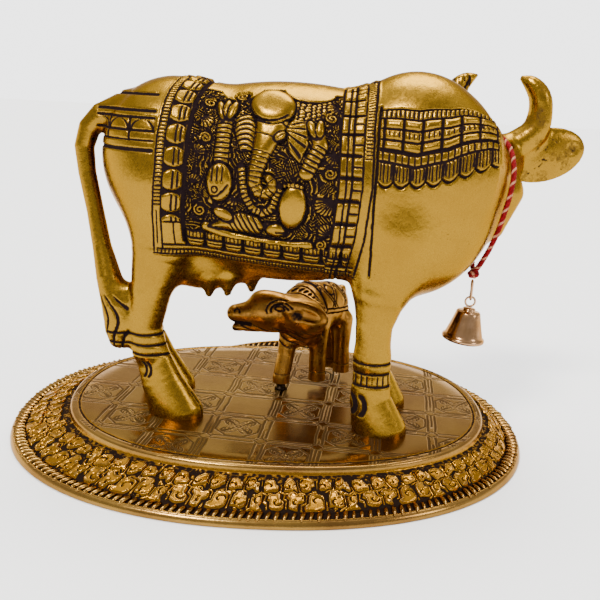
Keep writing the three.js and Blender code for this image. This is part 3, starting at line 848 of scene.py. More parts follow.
CLOTH_REAR = [(-28, -46.6), (-12, -47), (4, -45.9), (19, -45.5), (37, -43.8), (50, -41.7), (66, -39.5)]
CLOTH_FRONT = [(-34, 37.5), (-18, 40.6), (3, 42.3), (27, 41.8), (66, 42)]
COLLAR_ROW = [(43, 33), (58, 30.8), (70, 34), (82.3, 41), (92, 48)]
COLLAR_LOW = [(43, 4.6), (50.8, 4.6), (58.6, 5.1), (68.2, 6.9), (78, 11.1), (83.4, 14.2)]
COLLAR_LOW += [(88.7, 18.4), (96, 25)]


def run_through(points: Line, place: Array) -> Array:
    """Values running through (place, value) points."""
    return np.interp(place, [p[0] for p in points], [p[1] for p in points])


def carve_strokes(c: Carving, where: Array) -> None:
    """Dark ground with small curled leaf strokes standing in it, turned from patch to patch.

    Args:
        c: the carving that they are part of.
        where: the part of the skin that has them, from 0 to 1.
    """
    size = 4.2
    row = np.floor(c.t / size)
    column = np.floor(c.x / size + 0.37 * row)
    turn = 2 * np.pi * (np.sin(column * 12.99 + row * 78.23) * 43758.5 % 1)
    u, v = np.cos(turn) * c.x + np.sin(turn) * c.t, np.cos(turn) * c.t - np.sin(turn) * c.x
    stroke = np.sin(2 * np.pi * (u + 0.1 * v * v + 0.6 * noise(c.x / 2, c.t / 2, 3)) / 2.0)
    stroke = np.clip(1.6 * stroke + 1.3 * (noise(c.x / 1.7, c.t / 1.7, 21) - 0.75), -1, 1)
    c.height += where * 0.45 * stroke
    c.stain(where * np.clip(0.82 - 0.75 * stroke, 0, 1))


@dataclass(frozen=True)
class Spray:
    """A fan of short leaf ribs on the cloth's ground."""

    centre: Spot
    reach: float
    middle: float
    spread: float
    ribs: int

    def carve(self, c: Carving) -> None:
        """Cuts the fan.

        Args:
            c: the carving that it is part of.
        """
        dx, dt = c.x - self.centre[0], c.t - self.centre[1]
        out = np.hypot(dx, dt)
        off = np.degrees(np.arctan2(dt, dx)) - self.middle + 12 * out / self.reach
        off = (off + 180) % 360 - 180
        edge = self.reach * (1 - 0.25 * (off / self.spread) ** 2)
        inside = np.minimum(edge - out, (self.spread - np.abs(off)) * np.maximum(out, 0.5) * 0.0175)
        c.pad(inside, 0.1, 0.6, 1.2, 0.7)
        gap = wave(off + self.spread / self.ribs, 2 * self.spread / self.ribs) * out * 0.0175
        c.groove(gap, 0.75, 0.5, ledge(inside, 0.4) * ledge(out - 0.9, 0.6))


@dataclass(frozen=True)
class Curl:
    """A small curled tendril on the cloth's ground."""

    centre: Spot
    radius: float
    start: float
    hand: int = 1

    def carve(self, c: Carving) -> None:
        """Raises the curl.

        Args:
            c: the carving that it is part of.
        """
        turns = np.linspace(0, 1.55 * 2 * np.pi, 22)
        out = self.radius * (1 - 0.82 * turns / turns[-1])
        angle = math.radians(self.start) + self.hand * turns
        x, t = self.centre
        line = list(zip(x + out * np.cos(angle), t + out * np.sin(angle)))
        gap, _ = from_line(line, c.x, c.t)
        around = np.hypot(c.x - x, c.t - t)
        dark = np.clip((self.radius + 0.9 - around) / 0.6, 0, 1)
        c.height = np.where(dark > 0, np.minimum(c.height, -0.3), c.height)
        c.stain(dark)
        c.pad(0.55 - gap, 0.15, 0.5, 0.55, 0.3)


GROUND_LEAVES = [
    Spray((-27.5, 44.5), 6.0, -70, 50, 5),
    Spray((-28.5, 30.5), 6.2, -35, 48, 5),
    Spray((-30, 13), 5.4, 60, 45, 5),
    Spray((-30.5, 0.5), 5.0, 80, 40, 5),
    Spray((-31.5, -14), 6.0, 50, 42, 5),
    Spray((-12.5, -2.5), 5.0, 240, 48, 5),
    Spray((27, 40), 6.0, 215, 55, 6),
    Spray((27, 18), 6.2, 250, 40, 6),
    Spray((27, -1), 9.0, 235, 42, 8),
    Spray((26.5, -17), 6.0, 150, 48, 6),
    Spray((-25, -22.5), 4.4, 160, 50, 4),
    Curl((-25.6, 38.5), 2.7, 40),
    Curl((-25.8, 20.6), 2.4, 200, -1),
    Curl((-27.5, -9.5), 2.5, 120),
    Curl((-12.8, 44.5), 2.5, 300, -1),
    Curl((23.8, 33.2), 2.6, 100),
    Curl((24.8, 8.5), 2.4, 20, -1),
    Curl((1, -14.5), 1.9, 150),
    Curl((22.5, -21), 2.2, 60, -1),
]


def carve_border_blocks(c: Carving, across: Array, along: Array, edges: Spot, where: Array) -> None:
    """A column of bow-tied blocks with upright grooves, as on the cloth's rear edge.

    Args:
        c: the carving that they are part of.
        across: distance across the column.
        along: distance along it.
        edges: where it begins and ends across.
        where: the part of the skin that has it, from 0 to 1.
    """
    pitch = 9.1
    low, high = edges
    inside = where * between(across, low, high, 0.3)
    gap = wave(along, pitch)
    bow = 0.45 + 1.5 * (np.abs(across - (low + high) / 2) / ((high - low) / 2)) ** 2.2
    c.height += inside * 0.6 * np.clip((gap - bow) / 1.3, 0, 1) ** 0.7
    c.groove(np.maximum(gap - bow + 0.45, 0), 1.15, 0.7, inside)
    for share in (0.52, 0.78):
        line = across - (low + share * (high - low))
        c.groove(line, 0.95, 0.45, inside * ledge(gap - bow - 0.6, 0.5))


def carve_double_blocks(c: Carving, across: Array, along: Array, edges: Triple) -> None:
    """Two columns of rounded blocks side by side, as on the cloth's front edge.

    Args:
        c: the carving that they are part of.
        across: distance across the columns.
        along: distance along them.
        edges: where they begin, meet and end across.
    """
    pitch = 9.4
    low, middle, high = edges
    inside = between(across, low, high, 0.3)
    gap = wave(along + 2.2, pitch)
    c.height += inside * 0.6 * np.clip((gap - 0.5) / 1.5, 0, 1) ** 0.7
    c.groove(gap, 1.7, 0.8, inside)
    c.groove(across - middle, 1.2, 0.6, inside)
    c.groove(wave(along + 2.2 + pitch / 2, pitch), 0.95, 0.45, between(across, low, middle, 0.3))
    c.groove(across - (middle + 0.45 * (high - middle)), 0.9, 0.45, between(across, middle, high, 0.3))


def carve_lower_blocks(c: Carving, up: Array, edges: Spot, where: Array) -> None:
    """The row of blocks over the hem, with small bars above and a bowl below.

    Args:
        c: the carving that they are part of.
        up: distance up from the cloth's lower edge.
        edges: where the row begins and ends upward.
        where: the part of the skin that has it, from 0 to 1.
    """
    pitch = 8.1
    low, high = edges
    inside = where * between(up, low, high, 0.3)
    gap = wave(c.x + 1.5, pitch)
    split = low + 0.56 * (high - low)
    c.height += inside * 0.6 * np.clip((gap - 0.5) / 1.4, 0, 1) ** 0.7
    c.groove(gap, 1.7, 0.8, inside)
    c.groove(up - split, 1.0, 0.5, inside)
    c.groove(up - split + 1.5, 0.6, 0.3, inside * ledge(gap - 1.2, 0.5))
    c.groove(wave(c.x, 1.62), 0.6, 0.35, inside * ledge(up - split, 0.3))
    corner = np.hypot(np.maximum(2.2 - gap, 0), np.maximum(low + 1.9 - up, 0))
    c.groove(np.maximum(1.9 - corner, 0), 0.9, 0.5, inside * ledge(low + 1.9 - up, 0.3))


FIGURE_BASE = 0.35
TRUNK = [(0.6, 29), (-0.6, 22.5), (-2.6, 15.5), (-4.5, 8.5), (-4.9, 3.2), (-3.2, -0.4)]
TRUNK += [(-0.2, -1.2), (2, 0.9), (2.1, 3.6), (0.6, 5.2)]
RIDGED_EAR = [(-14.2, 32), (-8.6, 33.4), (-5.8, 27), (-6.2, 15.8), (-11.4, 15.4), (-14.2, 24)]
FANNED_EAR = [(5.8, 26.4), (9, 30.8), (14.2, 29.6), (15.6, 19.5), (12.6, 11.4), (8.2, 15.6)]
SEAT = [(-25, -16.2), (-14.8, -19.6), (-2.2, -21.4), (10.2, -22.0), (17.4, -21.6)]
THIGH = [(-23.5, -15.6), (-17, -12.0), (-10.4, -8.9), (-3.4, -10.6), (-0.6, -14.4), (-2.5, -17.6)]
THIGH += [(-12, -17.2)]
BEADS = [(-10.6, 9), (-9.0, -1.6), (-5.6, -7.4), (-1.4, -9.0), (2.4, -6.8), (5.0, 1.6)]
PALM_CREASE = [(-22.4, -3.4), (-19.4, -2.9), (-17.2, -0.8), (-15.4, 1.6)]
REAR_ARM = [(-18.2, 34), (-18.4, 30), (-19, 12)]
FRONT_ARM = [(18.6, 25), (20.4, 19.4), (15.4, 8)]
REAR_FINGERS = (((-20.6, 34.8), 12), ((-18.2, 36.2), 0), ((-15.9, 35.0), -12))
FRONT_FINGERS = (((16.6, 26.4), 20), ((19.6, 26.8), 2))


def carve_arm(c: Carving, line: Line, half: float, bangles: Spot) -> None:
    """A raised arm with a run of bangles.

    Args:
        c: the carving that it is part of.
        line: its middle line.
        half: half its width.
        bangles: where they begin and end along it.
    """
    gap, along = from_line(line, c.x, c.t)
    c.pad(half - gap, FIGURE_BASE, 1.5, half)
    worn = ledge(half - gap, 0.4) * between(along, *bangles, 0.4)
    c.groove(wave(along, 2.15), 1.0, 0.6, worn)


def carve_trunk(c: Carving) -> None:
    """The elephant's face running down into its trunk, ringed and curled at the end.

    Args:
        c: the carving that it is part of.
    """
    gap, along = from_line(TRUNK, c.x, c.t)
    half = np.interp(along, [0, 7, 15, 22, 30, 36, 44], [6.6, 5.2, 3.7, 3.1, 2.5, 2.1, 1.5])
    c.pad(half - gap, FIGURE_BASE, 2.6, 4.2)
    c.groove(wave(along, 2.0), 0.6, 0.3, ledge(half - gap, 0.4) * ledge(along - 13, 1))
    c.groove(wave(along, 7.0), 0.5, 0.2, ledge(half - gap, 0.4) * between(along, 5, 14, 1))


def carve_ears(c: Carving) -> None:
    """The elephant's two ears: ridges across on one, and fanned out on the other.

    Args:
        c: the carving that they are part of.
    """
    left = in_outline(RIDGED_EAR, c.x, c.t)
    c.pad(left, FIGURE_BASE, 0.9, 1.6)
    c.groove(wave(c.t + 0.12 * (c.x + 10) ** 2, 2.3), 1.1, 0.6, ledge(left - 0.3, 0.5))
    right = in_outline(FANNED_EAR, c.x, c.t)
    c.pad(right, FIGURE_BASE, 1.1, 1.8)
    fan = np.degrees(np.arctan2(c.t - 26, c.x - 3))
    off_root = ledge(np.hypot(c.x - 3, c.t - 26) - 4, 1)
    c.groove(wave(fan, 17.0) * 0.14, 1.0, 0.6, ledge(right - 0.7, 0.6) * off_root)


def oval(c: Carving, centre: Spot, radii: Spot, tilt: float = 0.0) -> Array:
    """Distance inside a drawn oval, negative outside.

    Args:
        c: the carving that it is drawn on.
        centre: its middle.
        radii: its two half widths.
        tilt: how far its first width is turned, in degrees.

    Returns:
        The distance at each point.
    """
    a = math.radians(tilt)
    dx, dt = c.x - centre[0], c.t - centre[1]
    u = (math.cos(a) * dx + math.sin(a) * dt) / radii[0]
    v = (math.cos(a) * dt - math.sin(a) * dx) / radii[1]
    return (1 - np.hypot(u, v)) * np.minimum(*radii)


def carve_legs_and_seat(c: Carving) -> None:
    """Crossed legs with a ribbed cloth, a foot and the seat.

    Args:
        c: the carving that they are part of.
    """
    seat, _ = from_line(SEAT, c.x, c.t)
    c.pad(2.1 - seat, FIGURE_BASE, 1.6, 2.1, 1.0)
    leg = in_outline(THIGH, c.x, c.t)
    c.pad(leg, FIGURE_BASE, 1.7, 2.6, 1.0)
    c.groove(wave(c.x + 0.55 * c.t, 2.2), 1.0, 0.55, ledge(leg - 0.3, 0.5) * ledge(c.x + 15.0, 1))
    c.pad(oval(c, (-17.6, -10.4), (4.4, 2.3), -22), FIGURE_BASE, 1.3, 2.0, 0.9)
    c.pad(oval(c, (4.2, -15.6), (4.0, 2.8)), FIGURE_BASE, 1.8, 2.4, 0.9)
    c.groove(c.t + 16.2, 0.7, 0.35, ledge(oval(c, (6, -16.0), (2, 1.8)), 0.4))


def carve_hands(c: Carving) -> None:
    """The raised hands, the open palm on one side and the resting hand on the other.

    Args:
        c: the carving that they are part of.
    """
    for centre, tilt in REAR_FINGERS:
        c.pad(oval(c, centre, (1.8, 5.6), tilt), FIGURE_BASE + 0.2, 1.4, 1.6, 0.8)
    for centre, tilt in FRONT_FINGERS:
        c.pad(oval(c, centre, (1.8, 4.4), tilt), FIGURE_BASE + 0.2, 1.3, 1.6, 0.8)

    palm = oval(c, (-19.3, 2.6), (5.4, 8.0))
    c.pad(palm, FIGURE_BASE + 0.4, 1.8, 3.0, 1.2)
    for x in (-22.2, -20.0, -17.8):
        c.groove(c.x - x, 0.85, 0.6, between(c.t, 2.8, 8.8, 0.6) * ledge(palm - 0.5, 0.5))
    c.groove(np.hypot(c.x + 20.8, c.t + 0.4) - 1.25, 0.8, 0.5)
    crease, _ = from_line(PALM_CREASE, c.x, c.t)
    c.groove(crease, 0.95, 0.55)

    c.pad(oval(c, (10.7, -5.6), (5.4, 8.9), -6), FIGURE_BASE + 0.4, 2.2, 3.6, 1.2)
    for step in range(5):
        finger = oval(c, (7.2 + 1.7 * step, 2.6 + 0.55 * step - 0.14 * step**2), (0.95, 0.95))
        c.pad(finger, FIGURE_BASE + 1.2, 0.6, 0.8, 0.5)


def carve_figure(c: Carving) -> None:
    """The seated elephant-headed figure in the middle of the cloth.

    Args:
        c: the carving that it is part of.
    """
    for leaf in GROUND_LEAVES:
        leaf.carve(c)
    carve_legs_and_seat(c)
    carve_ears(c)
    carve_arm(c, REAR_ARM, 3.1, (3, 22))
    carve_arm(c, FRONT_ARM, 3.0, (5, 19))
    carve_hands(c)
    beads, along = from_line(BEADS, c.x, c.t)
    c.pad(1.6 - beads, FIGURE_BASE, 0.8, 1.4, 0.9)
    c.groove(wave(along, 1.75), 0.8, 0.55, ledge(1.6 - beads, 0.4))
    carve_trunk(c)
    dome = oval(c, (0.4 - 0.12 * (c.t - 36), 37.6), (9.0 - 0.1 * np.maximum(c.t - 38, 0), 10.2))
    c.pad(dome, FIGURE_BASE + 0.4, 2.4, 5.0, 1.0)
    for drop in (0.0, 1.8):
        arc = np.hypot(c.x - 0.2, (c.t - 39.9 + drop) * 0.86)
        c.groove(arc - 9.6, 0.9, 0.5, ledge(31.9 - drop - c.t, 0.8) * between(c.x, -7.4, 8.8, 0.8))
    c.pad(oval(c, (4.4, 21.9), (2.6, 1.7), 38), FIGURE_BASE + 1.6, 0.8, 1.2, 0.9)
    slit = ledge(oval(c, (4.4, 21.9), (1.8, 1.0), 38), 0.4)
    c.groove(c.t - 21.9 - 0.8 * (c.x - 4.4), 0.7, 0.45, slit)
    brow, _ = from_line([(0.8, 26.8), (4.4, 27.6), (7.4, 26)], c.x, c.t)
    c.groove(brow, 0.8, 0.5)


CLOTH_LOW = 32.4
CLOTH_SLOPE = 0.078
FIELD_TOP = 48.5
SWAGS = ((-13.5, 8.6, 7.2), (14.2, 10.4, 7.8))


def carve_pearls(c: Carving, panel: Array) -> None:
    """A cluster of uneven pearls beside the figure's headdress.

    Args:
        c: the carving that they are part of.
        panel: distance inside the cloth's sunk field.
    """
    x = c.x + 1.3 * noise(c.x / 2.6, c.t / 2.6, 61)
    t = c.t + 1.3 * noise(c.x / 2.6, c.t / 2.6, 67)
    pearl = np.hypot(wave(x, 2.1), wave(t + 1.05 * np.round(x / 2.1), 2.1))
    there = (panel > 0.4) & (c.x > 9.0) & (c.x < 24) & (c.t > 29 + 0.2 * (c.x - 9))
    c.height = np.where(there, 0.55 * np.clip(1.25 - pearl, 0, 1) ** 0.6, c.height)
    c.patina = np.where(there, np.clip(1.7 * pearl - 1.0, 0, 1), c.patina)


def carve_cloth(c: Carving) -> None:
    """The saddle cloth with its frame, leafy ground and figure.

    Args:
        c: the flank's carving.
    """
    rear = c.x - run_through(CLOTH_REAR, c.t)
    front = run_through(CLOTH_FRONT, c.t) - c.x
    up = c.t + CLOTH_LOW + CLOTH_SLOPE * c.x
    inside = np.minimum(np.minimum(rear, front), up)
    on = ledge(inside, 0.8)
    c.ground(inside, 0.9, 1.0)

    c.groove(rear - 0.5, 1.0, 0.9, ledge(up - 1, 1))
    c.groove(front - 0.5, 1.0, 0.9, ledge(up - 1, 1))
    c.groove(up - 0.5, 0.8, 0.6, ledge(np.minimum(rear, front), 1))

    panel = np.minimum(np.minimum(rear - 13.0, front - 14.2), up - 11.8)
    rear_zone = ledge(np.minimum(12.8 - rear, rear - 0.9), 0.4) * ledge(up - 4.6, 0.4)
    front_zone = ledge(np.minimum(14.0 - front, front - 0.9), 0.4) * ledge(up - 4.6, 0.4)

    c.groove(rear - 3.9, 0.8, 0.5, on * ledge(up - 2, 1))
    c.groove(wave(c.t, 1.55), 0.7, 0.4, rear_zone * ledge(3.6 - rear, 0.3) * ledge(c.t + 9, 0.6))
    c.groove(rear - 2.2, 0.6, 0.3, rear_zone * ledge(-10 - c.t, 0.6))
    carve_border_blocks(c, rear, c.t + 2.2, (4.3, 11.4), rear_zone * ledge(c.t + 15, 0.4))
    c.groove(c.t + 14.9, 0.9, 0.4, rear_zone * between(rear, 5, 11.6, 0.4))
    c.groove(rear - 8.6, 0.7, 0.3, rear_zone * ledge(-15 - c.t, 0.4))
    c.groove(rear - 12.5, 2.2, 0.9, on * ledge(up - 6, 1))

    c.groove(front - 4.3, 0.8, 0.5, on * ledge(up - 2, 1))
    c.groove(wave(c.t, 1.55), 0.7, 0.4, front_zone * ledge(3.6 - front, 0.3) * ledge(c.t - 15, 0.6))
    carve_double_blocks(c, front, c.t, (4.8, 8.6, 13.6))
    c.groove(front - 13.9, 1.1, 0.7, on * ledge(up - 6, 1))

    hem = ledge(np.minimum(rear, front) - 1.6, 0.6)
    c.groove(wave(c.x, 1.35), 0.6, 0.35, hem * between(up, 0.9, 2.3, 0.3))
    c.groove(up - 2.6, 0.7, 0.45, hem)
    c.groove(up - 4.6, 0.8, 0.45, hem * ledge(rear - 4, 0.6))
    carve_lower_blocks(c, up, (5.0, 11.4), hem * ledge(np.minimum(rear - 12.6, front - 4.6), 0.5))
    c.groove(up - 11.7, 0.9, 0.6, hem * ledge(rear - 13, 0.4) * ledge(front - 13.8, 0.4))

    top = np.full(len(c.x), FIELD_TOP)
    for middle, half, drop in SWAGS:
        top -= drop * np.sqrt(np.clip(1 - ((c.x - middle) / half) ** 2, 0, 1))
    field = np.minimum(panel, top - c.t)
    c.ground(field, -0.75, 0.8)
    carve_strokes(c, ledge(field - 0.2, 0.6))
    c.groove(np.where(panel > 0.4, c.t - top, 9.0), 1.0, 0.5)
    fields = Carving(c.x, c.t)
    fields.height, fields.patina = c.height.copy(), c.patina.copy()
    carve_pearls(fields, field)
    carve_figure(fields)
    on_panel = panel > -0.4
    c.height = np.where(on_panel, fields.height, c.height)
    c.patina = np.where(on_panel, fields.patina, c.patina)


COLLAR_TIERS = ((0.0, -4.3), (-4.6, -8.9), (-9.1, -12.9))
TASSEL_PITCH = 6.3


def carve_collar(c: Carving) -> None:
    """The tiered collar on the shoulder with its row of tassels.

    Args:
        c: the flank's carving.
    """
    row = run_through(COLLAR_ROW, c.x)
    v = c.t - row
    scallop = wave(c.x - 43.4 - TASSEL_PITCH / 2, TASSEL_PITCH)
    low = run_through(COLLAR_LOW, c.x) + 0.24 * scallop**2
    inside = np.minimum(np.minimum(c.x - 43.2, 93 - c.x), np.minimum(4.4 - v, c.t - low))
    on = ledge(inside, 0.8)
    c.ground(inside, 0.9, 1.0)
    rows = on * between(c.x, 43.6, 90.5, 0.6)
    c.groove(c.x - 42.9, 1.2, 0.9, between(c.t, -33, 40, 1))
    c.groove(v - 4.6, 1.5, 0.9, between(c.x, 42.5, 93, 1))

    c.groove(wave(c.x, 1.75), 0.75, 0.4, rows * between(v, 0.9, 4.0, 0.4))
    c.groove(v - 0.3, 1.1, 0.6, rows)
    blocks = wave(c.x - 45, 7.4)
    for top, bottom in COLLAR_TIERS:
        tier = rows * between(v, bottom, top, 0.3)
        domed = np.clip(np.minimum(blocks - 0.4, within(v, bottom + 0.4, top - 0.4)) / 1.3, 0, 1)
        c.height += tier * 0.6 * domed**0.7
        c.groove(v - bottom - 0.1, 1.05, 0.55, rows)
    c.groove(blocks, 1.25, 0.65, rows * between(v, -13, 0.2, 0.3))
    bars = between(v, -7.6, -5.0, 0.4) * ledge(3.0 - wave(c.x - 41.3, 7.4), 0.4)
    c.groove(wave(c.x - 45 + 3.7, 1.9), 0.6, 0.3, rows * bars)
    c.groove(v + 13.5, 1.4, 0.8, rows)
    c.groove(wave(c.x, 2.5), 0.8, 0.45, rows * between(v, -17.4, -14.2, 0.3))
    c.groove(v + 18.0, 1.4, 0.8, rows)
    tassels = rows * ledge(np.minimum(-18.7 - v, c.t - low - 0.4), 0.4)
    c.groove(TASSEL_PITCH / 2 - scallop, 1.35, 0.85, tassels)
    for out in (0.75, 1.95):
        c.groove(scallop - out, 0.68, 0.4, tassels * ledge(c.t - low - 1.6, 0.6))
    c.groove(c.t - low + 0.3, 1.4, 0.8, ledge(np.minimum(c.x - 43.5, 91 - c.x), 0.6))


RUMP_BANDS = ((138.5, 1.3), (132.0, 1.5), (129.3, 1.3), (124.2, 1.2), (120.4, 0.9), (116.6, 1.8))


def carve_rump(c: Carving, z: Array) -> None:
    """Bands round the rump, with a row of petals between them.

    Args:
        c: the carving that they are part of.
        z: height of each point over the hooves.
    """
    on = ledge(np.minimum(-46.6 - c.x, z - 112), 1.2) * ledge(c.x + 77, 2)
    for line, width in RUMP_BANDS:
        c.groove(z - line, width, 0.6, on)
    petals = wave(c.x + 52, 11.5)
    arch = 5.0 * np.sqrt(np.clip(1 - ((z - 124.2) / 4.4) ** 2, 0, 1))
    c.groove(petals - arch, 1.3, 0.6, on * between(z, 124.2, 128.8, 0.4))
    c.groove(5.75 - petals, 1.4, 0.6, on * between(z, 120.0, 129.2, 0.4))


FORE_RINGS = (32.2, 27.5, 21.9)
HIND_RINGS = (37.3, 32.6, 28.2)
TOES = (65.0, -26.3, -37.3)


def carve_legs(c: Carving, p: Array) -> None:
    """Ankle rings, the marks above the hooves and the cleft in front.

    Args:
        c: the legs' carving.
        p: points on the skin, in the cow's frame.
    """
    x, y, z = p.T
    fore, hind = ledge(9 - np.abs(x - 47.6), 1), ledge(14 - np.abs(x + 55), 1)
    for line in FORE_RINGS:
        c.groove(z - line, 1.1, 0.6, fore)
    around = np.degrees(np.arctan2(y - np.sign(y) * 16.5, x - 47.6))
    c.groove(wave(around, 22.0) * 0.13, 0.9, 0.4, fore * between(z, 22.6, 26.8, 0.4))
    for line in HIND_RINGS:
        c.groove(z - line, 1.15, 0.6, hind)
    outer = ledge(np.abs(y) - 17.5, 0.8)
    for ahead, width in ((0.0, 2.7), (4.1, 2.5)):
        bow = np.hypot(x - 35.2 - ahead, z - 12.6) - 6.2
        there = between(x, 38.2 + ahead, 60, 0.5) * between(z, 8.0, 18.0, 0.8)
        c.groove(bow, width, 0.4, outer * there)
        curl = np.hypot(x + 56 - 0.5 * ahead, z - 21.0) - 5.2
        there = ledge(x + 53.2 - 0.5 * ahead, 0.5) * between(z, 17.5, 25, 0.8)
        c.groove(curl, width * 0.55, 0.3, outer * there)
    for toe in TOES:
        c.groove(np.abs(y) - 17.0, 1.1, 0.7, between(x, toe - 9, toe + 4, 1) * between(z, -1, 11, 1))


EAR_CREASES = (
    [(113, 112), (119, 117), (121, 126)],
    [(116, 119), (124, 118), (129, 114)],
    [(120, 128), (127, 127)],
)


def carve_head(c: Carving, p: Array) -> None:
    """Hollow and rim at the ear's tip, and dark casting marks on horn and ear.

    Args:
        c: the head's carving.
        p: points on the skin, in the cow's frame.
    """
    x, y, z = p.T
    back = ledge(40 - y, 1) * ledge(x - 112, 2)
    tip = np.hypot((x - 132.2) / 1.25, z - 123.4)
    c.height -= 0.7 * back * np.clip(1.4 - tip / 2.4, 0, 1)
    c.stain(back * 0.34 * np.clip(2.0 - tip / 1.6, 0, 1))
    for line in EAR_CREASES:
        gap, _ = from_line(line, x + 1.6 * noise(x, z, 4), z + 1.6 * noise(x, z, 8))
        c.groove(gap, 0.7, 0.25, back * 0.55 * (noise(x / 1.5, z / 1.5, 15) > 0.35))
    mark = np.hypot((x - 114.5) / 2.6, (z - 137) / 5.0)
    c.stain(0.34 * np.clip(2.2 - 1.6 * mark, 0, 1) * ledge(y - 24, 2))


def carve_tail(c: Carving, p: Array) -> None:
    """Wavy locks in the tail's tuft and rings above it.

    Args:
        c: the tail's carving.
        p: points on the skin, in the cow's frame.
    """
    x, y, z = p.T
    on = between(z, 28, 53, 3) * ledge(-58.5 - x, 1)
    middle = np.interp(z, [34, 48, 60, 73], [-64.2, -67, -71.5, -75.2])
    around = np.arctan2(y + 15.5, x - middle)
    c.groove(wave(around + 0.35 * np.sin(z / 4.0), 0.75) * 6.0, 1.4, 0.7, on)


HAND_SHAKE = 0.22
PLAIN_EDGE = 2.3
FACE_EDGE = 1.2
BACK_EDGE = 0.9
CALF_EDGE = 0.8
ANKLE_EDGES = (0.95, 1.4)
CARVED_EDGES = (0.68, 1.15)


class CowPart(Enum):
    """The pieces that the cow's skin is cut into."""

    SHOWN_SIDE = 0
    FAR_SIDE = 1
    HEAD_AND_LEGS = 2


class CowCarver:
    """Carves the cow's skin: flanks, collar, rump, legs and tail."""

    parts: ClassVar[type[Enum]] = CowPart

    def __call__(self, points: Array) -> tuple[Array, Array]:
        """Height and patina at each point of the plain skin.

        Args:
            points: points on the skin, in the cow's frame.

        Returns:
            Height along the normal in millimetres, and patina from 0 to 1.
        """
        x, t = flank(points)
        side = np.sign(points[:, 1])
        ahead, up = noise(x / 3, t / 3, 5) - 0.5, noise(x / 3, t / 3 + side, 9) - 0.5
        c = Carving(x + HAND_SHAKE * ahead, t + HAND_SHAKE * up)
        carve_cloth(c)
        carve_collar(c)
        carve_rump(c, points[:, 2])
        body = ledge(np.minimum(points[:, 2] - 62, 35 - np.abs(points[:, 1])), 2)
        body *= ledge(points[:, 0] + 77, 1)
        neck = ledge(98 - points[:, 0] - 0.5 * np.maximum(points[:, 1] - 8, 0), 3)
        legs, head = Carving(x, t), Carving(x, t)
        carve_legs(legs, points)
        carve_tail(legs, points)
        carve_head(head, points)
        low = ledge(64 - points[:, 2], 2)
        height = c.height * body * neck + legs.height * low + head.height
        patina = np.maximum(np.maximum(c.patina * body * neck, legs.patina * low), head.patina)
        cloud = noise(points[:, 0] / 5, points[:, 2] / 5 + 3 * side, 31)
        face = ledge(np.minimum(points[:, 0] - 84, points[:, 1] - 14), 6)
        tuft = ledge(-60 - points[:, 0], 5) * between(points[:, 2], 48, 80, 8)
        wear = (0.2 * tuft + 0.26 * face) * np.clip(2.6 * cloud - 0.7, 0, 1)
        return height, np.maximum(patina, wear)

    def part(self, points: Array) -> Array:
        """Number of the piece that each place of the skin belongs to.

        Args:
            points: middles of the skin's triangles.

        Returns:
            One number for each.
        """
        carved = within(points[:, 0], -78, 95) > 0
        carved &= (points[:, 2] > 62) & (np.abs(points[:, 1]) < 34)
        flanks = np.where(points[:, 1] < 0, CowPart.SHOWN_SIDE.value, CowPart.FAR_SIDE.value)
        return np.where(carved, flanks, CowPart.HEAD_AND_LEGS.value)

    def fineness(self, points: Array) -> Array:
        """Longest edge wanted at each place of the skin.

        Args:
            points: places on the skin.

        Returns:
            One length for each.
        """
        x, t = flank(points)
        shown = points[:, 1] < -3
        want = np.full(len(points), PLAIN_EDGE)
        face = np.minimum(points[:, 0] - 80, points[:, 1] - 20) > 0
        want = np.where(face, FACE_EDGE, want)
        ankle = (points[:, 2] < 42) | (points[:, 0] < -60)
        want = np.where(ankle, np.where(shown, *ANKLE_EDGES), want)
        cloth = (within(x, -48, 44) > 0) & (t > -37) & (t < 58)
        collar = (within(x, 43, 94) > 0) & (t > 1) & (t < 56)
        rump = (within(x, -78, -45) > 0) & (points[:, 2] > 112)
        carved = cloth | collar | rump
        want = np.where(carved, np.where(shown, *CARVED_EDGES), want)
        return np.where(carved & ~shown & (points[:, 1] < 3), BACK_EDGE, want)


def carve_calf_cloth(c: Carving, y: Array, z: Array) -> None:
    """The calf's saddle cloth, its hem and crossed stripes, and the pierced collar before it.

    Args:
        c: the calf's carving.
        y: place of each point across the calf.
        z: its height over the hooves.
    """
    hem = 35.0 + 0.12 * c.x
    inside = np.minimum(within(c.x, -18.5, 5.5), z - hem)
    c.ground(inside, 0.6, 0.8)
    on = ledge(inside, 0.6)
    c.groove(inside - 0.2, 0.9, 0.6)
    c.groove(z - hem - 2.4, 0.8, 0.45, on)
    field = ledge(z - hem - 3.0, 0.4) * on
    for lean in (0.62, -0.62):
        stripe = wave(c.x + lean * (z - 40) + 1.5, 10.5)
        c.groove(stripe - 0.8, 0.8, 0.4, field)
    leaf = np.hypot(wave(c.x + 1.5, 10.5) / 1.2, z - 45.5) - 1.9
    c.groove(leaf, 0.7, 0.35, field)
    ring = c.x + 0.1 * y + 0.15 * (z - 46) - 2.6
    collar = within(ring, 7.2, 11.2)
    high = ledge(z - 33, 2)
    c.groove(ring - 6.8, 0.9, 0.5, high)
    c.groove(ring - 11.6, 0.9, 0.5, high)
    hole = np.hypot((ring - 9.2) / 1.4, wave(y - 0.8 * z, 3.2)) - 0.6
    c.groove(np.maximum(hole, 0), 0.7, 0.6, high * ledge(collar, 0.4))


class CalfPart(Enum):
    """The calf's skin stays in one piece."""

    WHOLE = 0


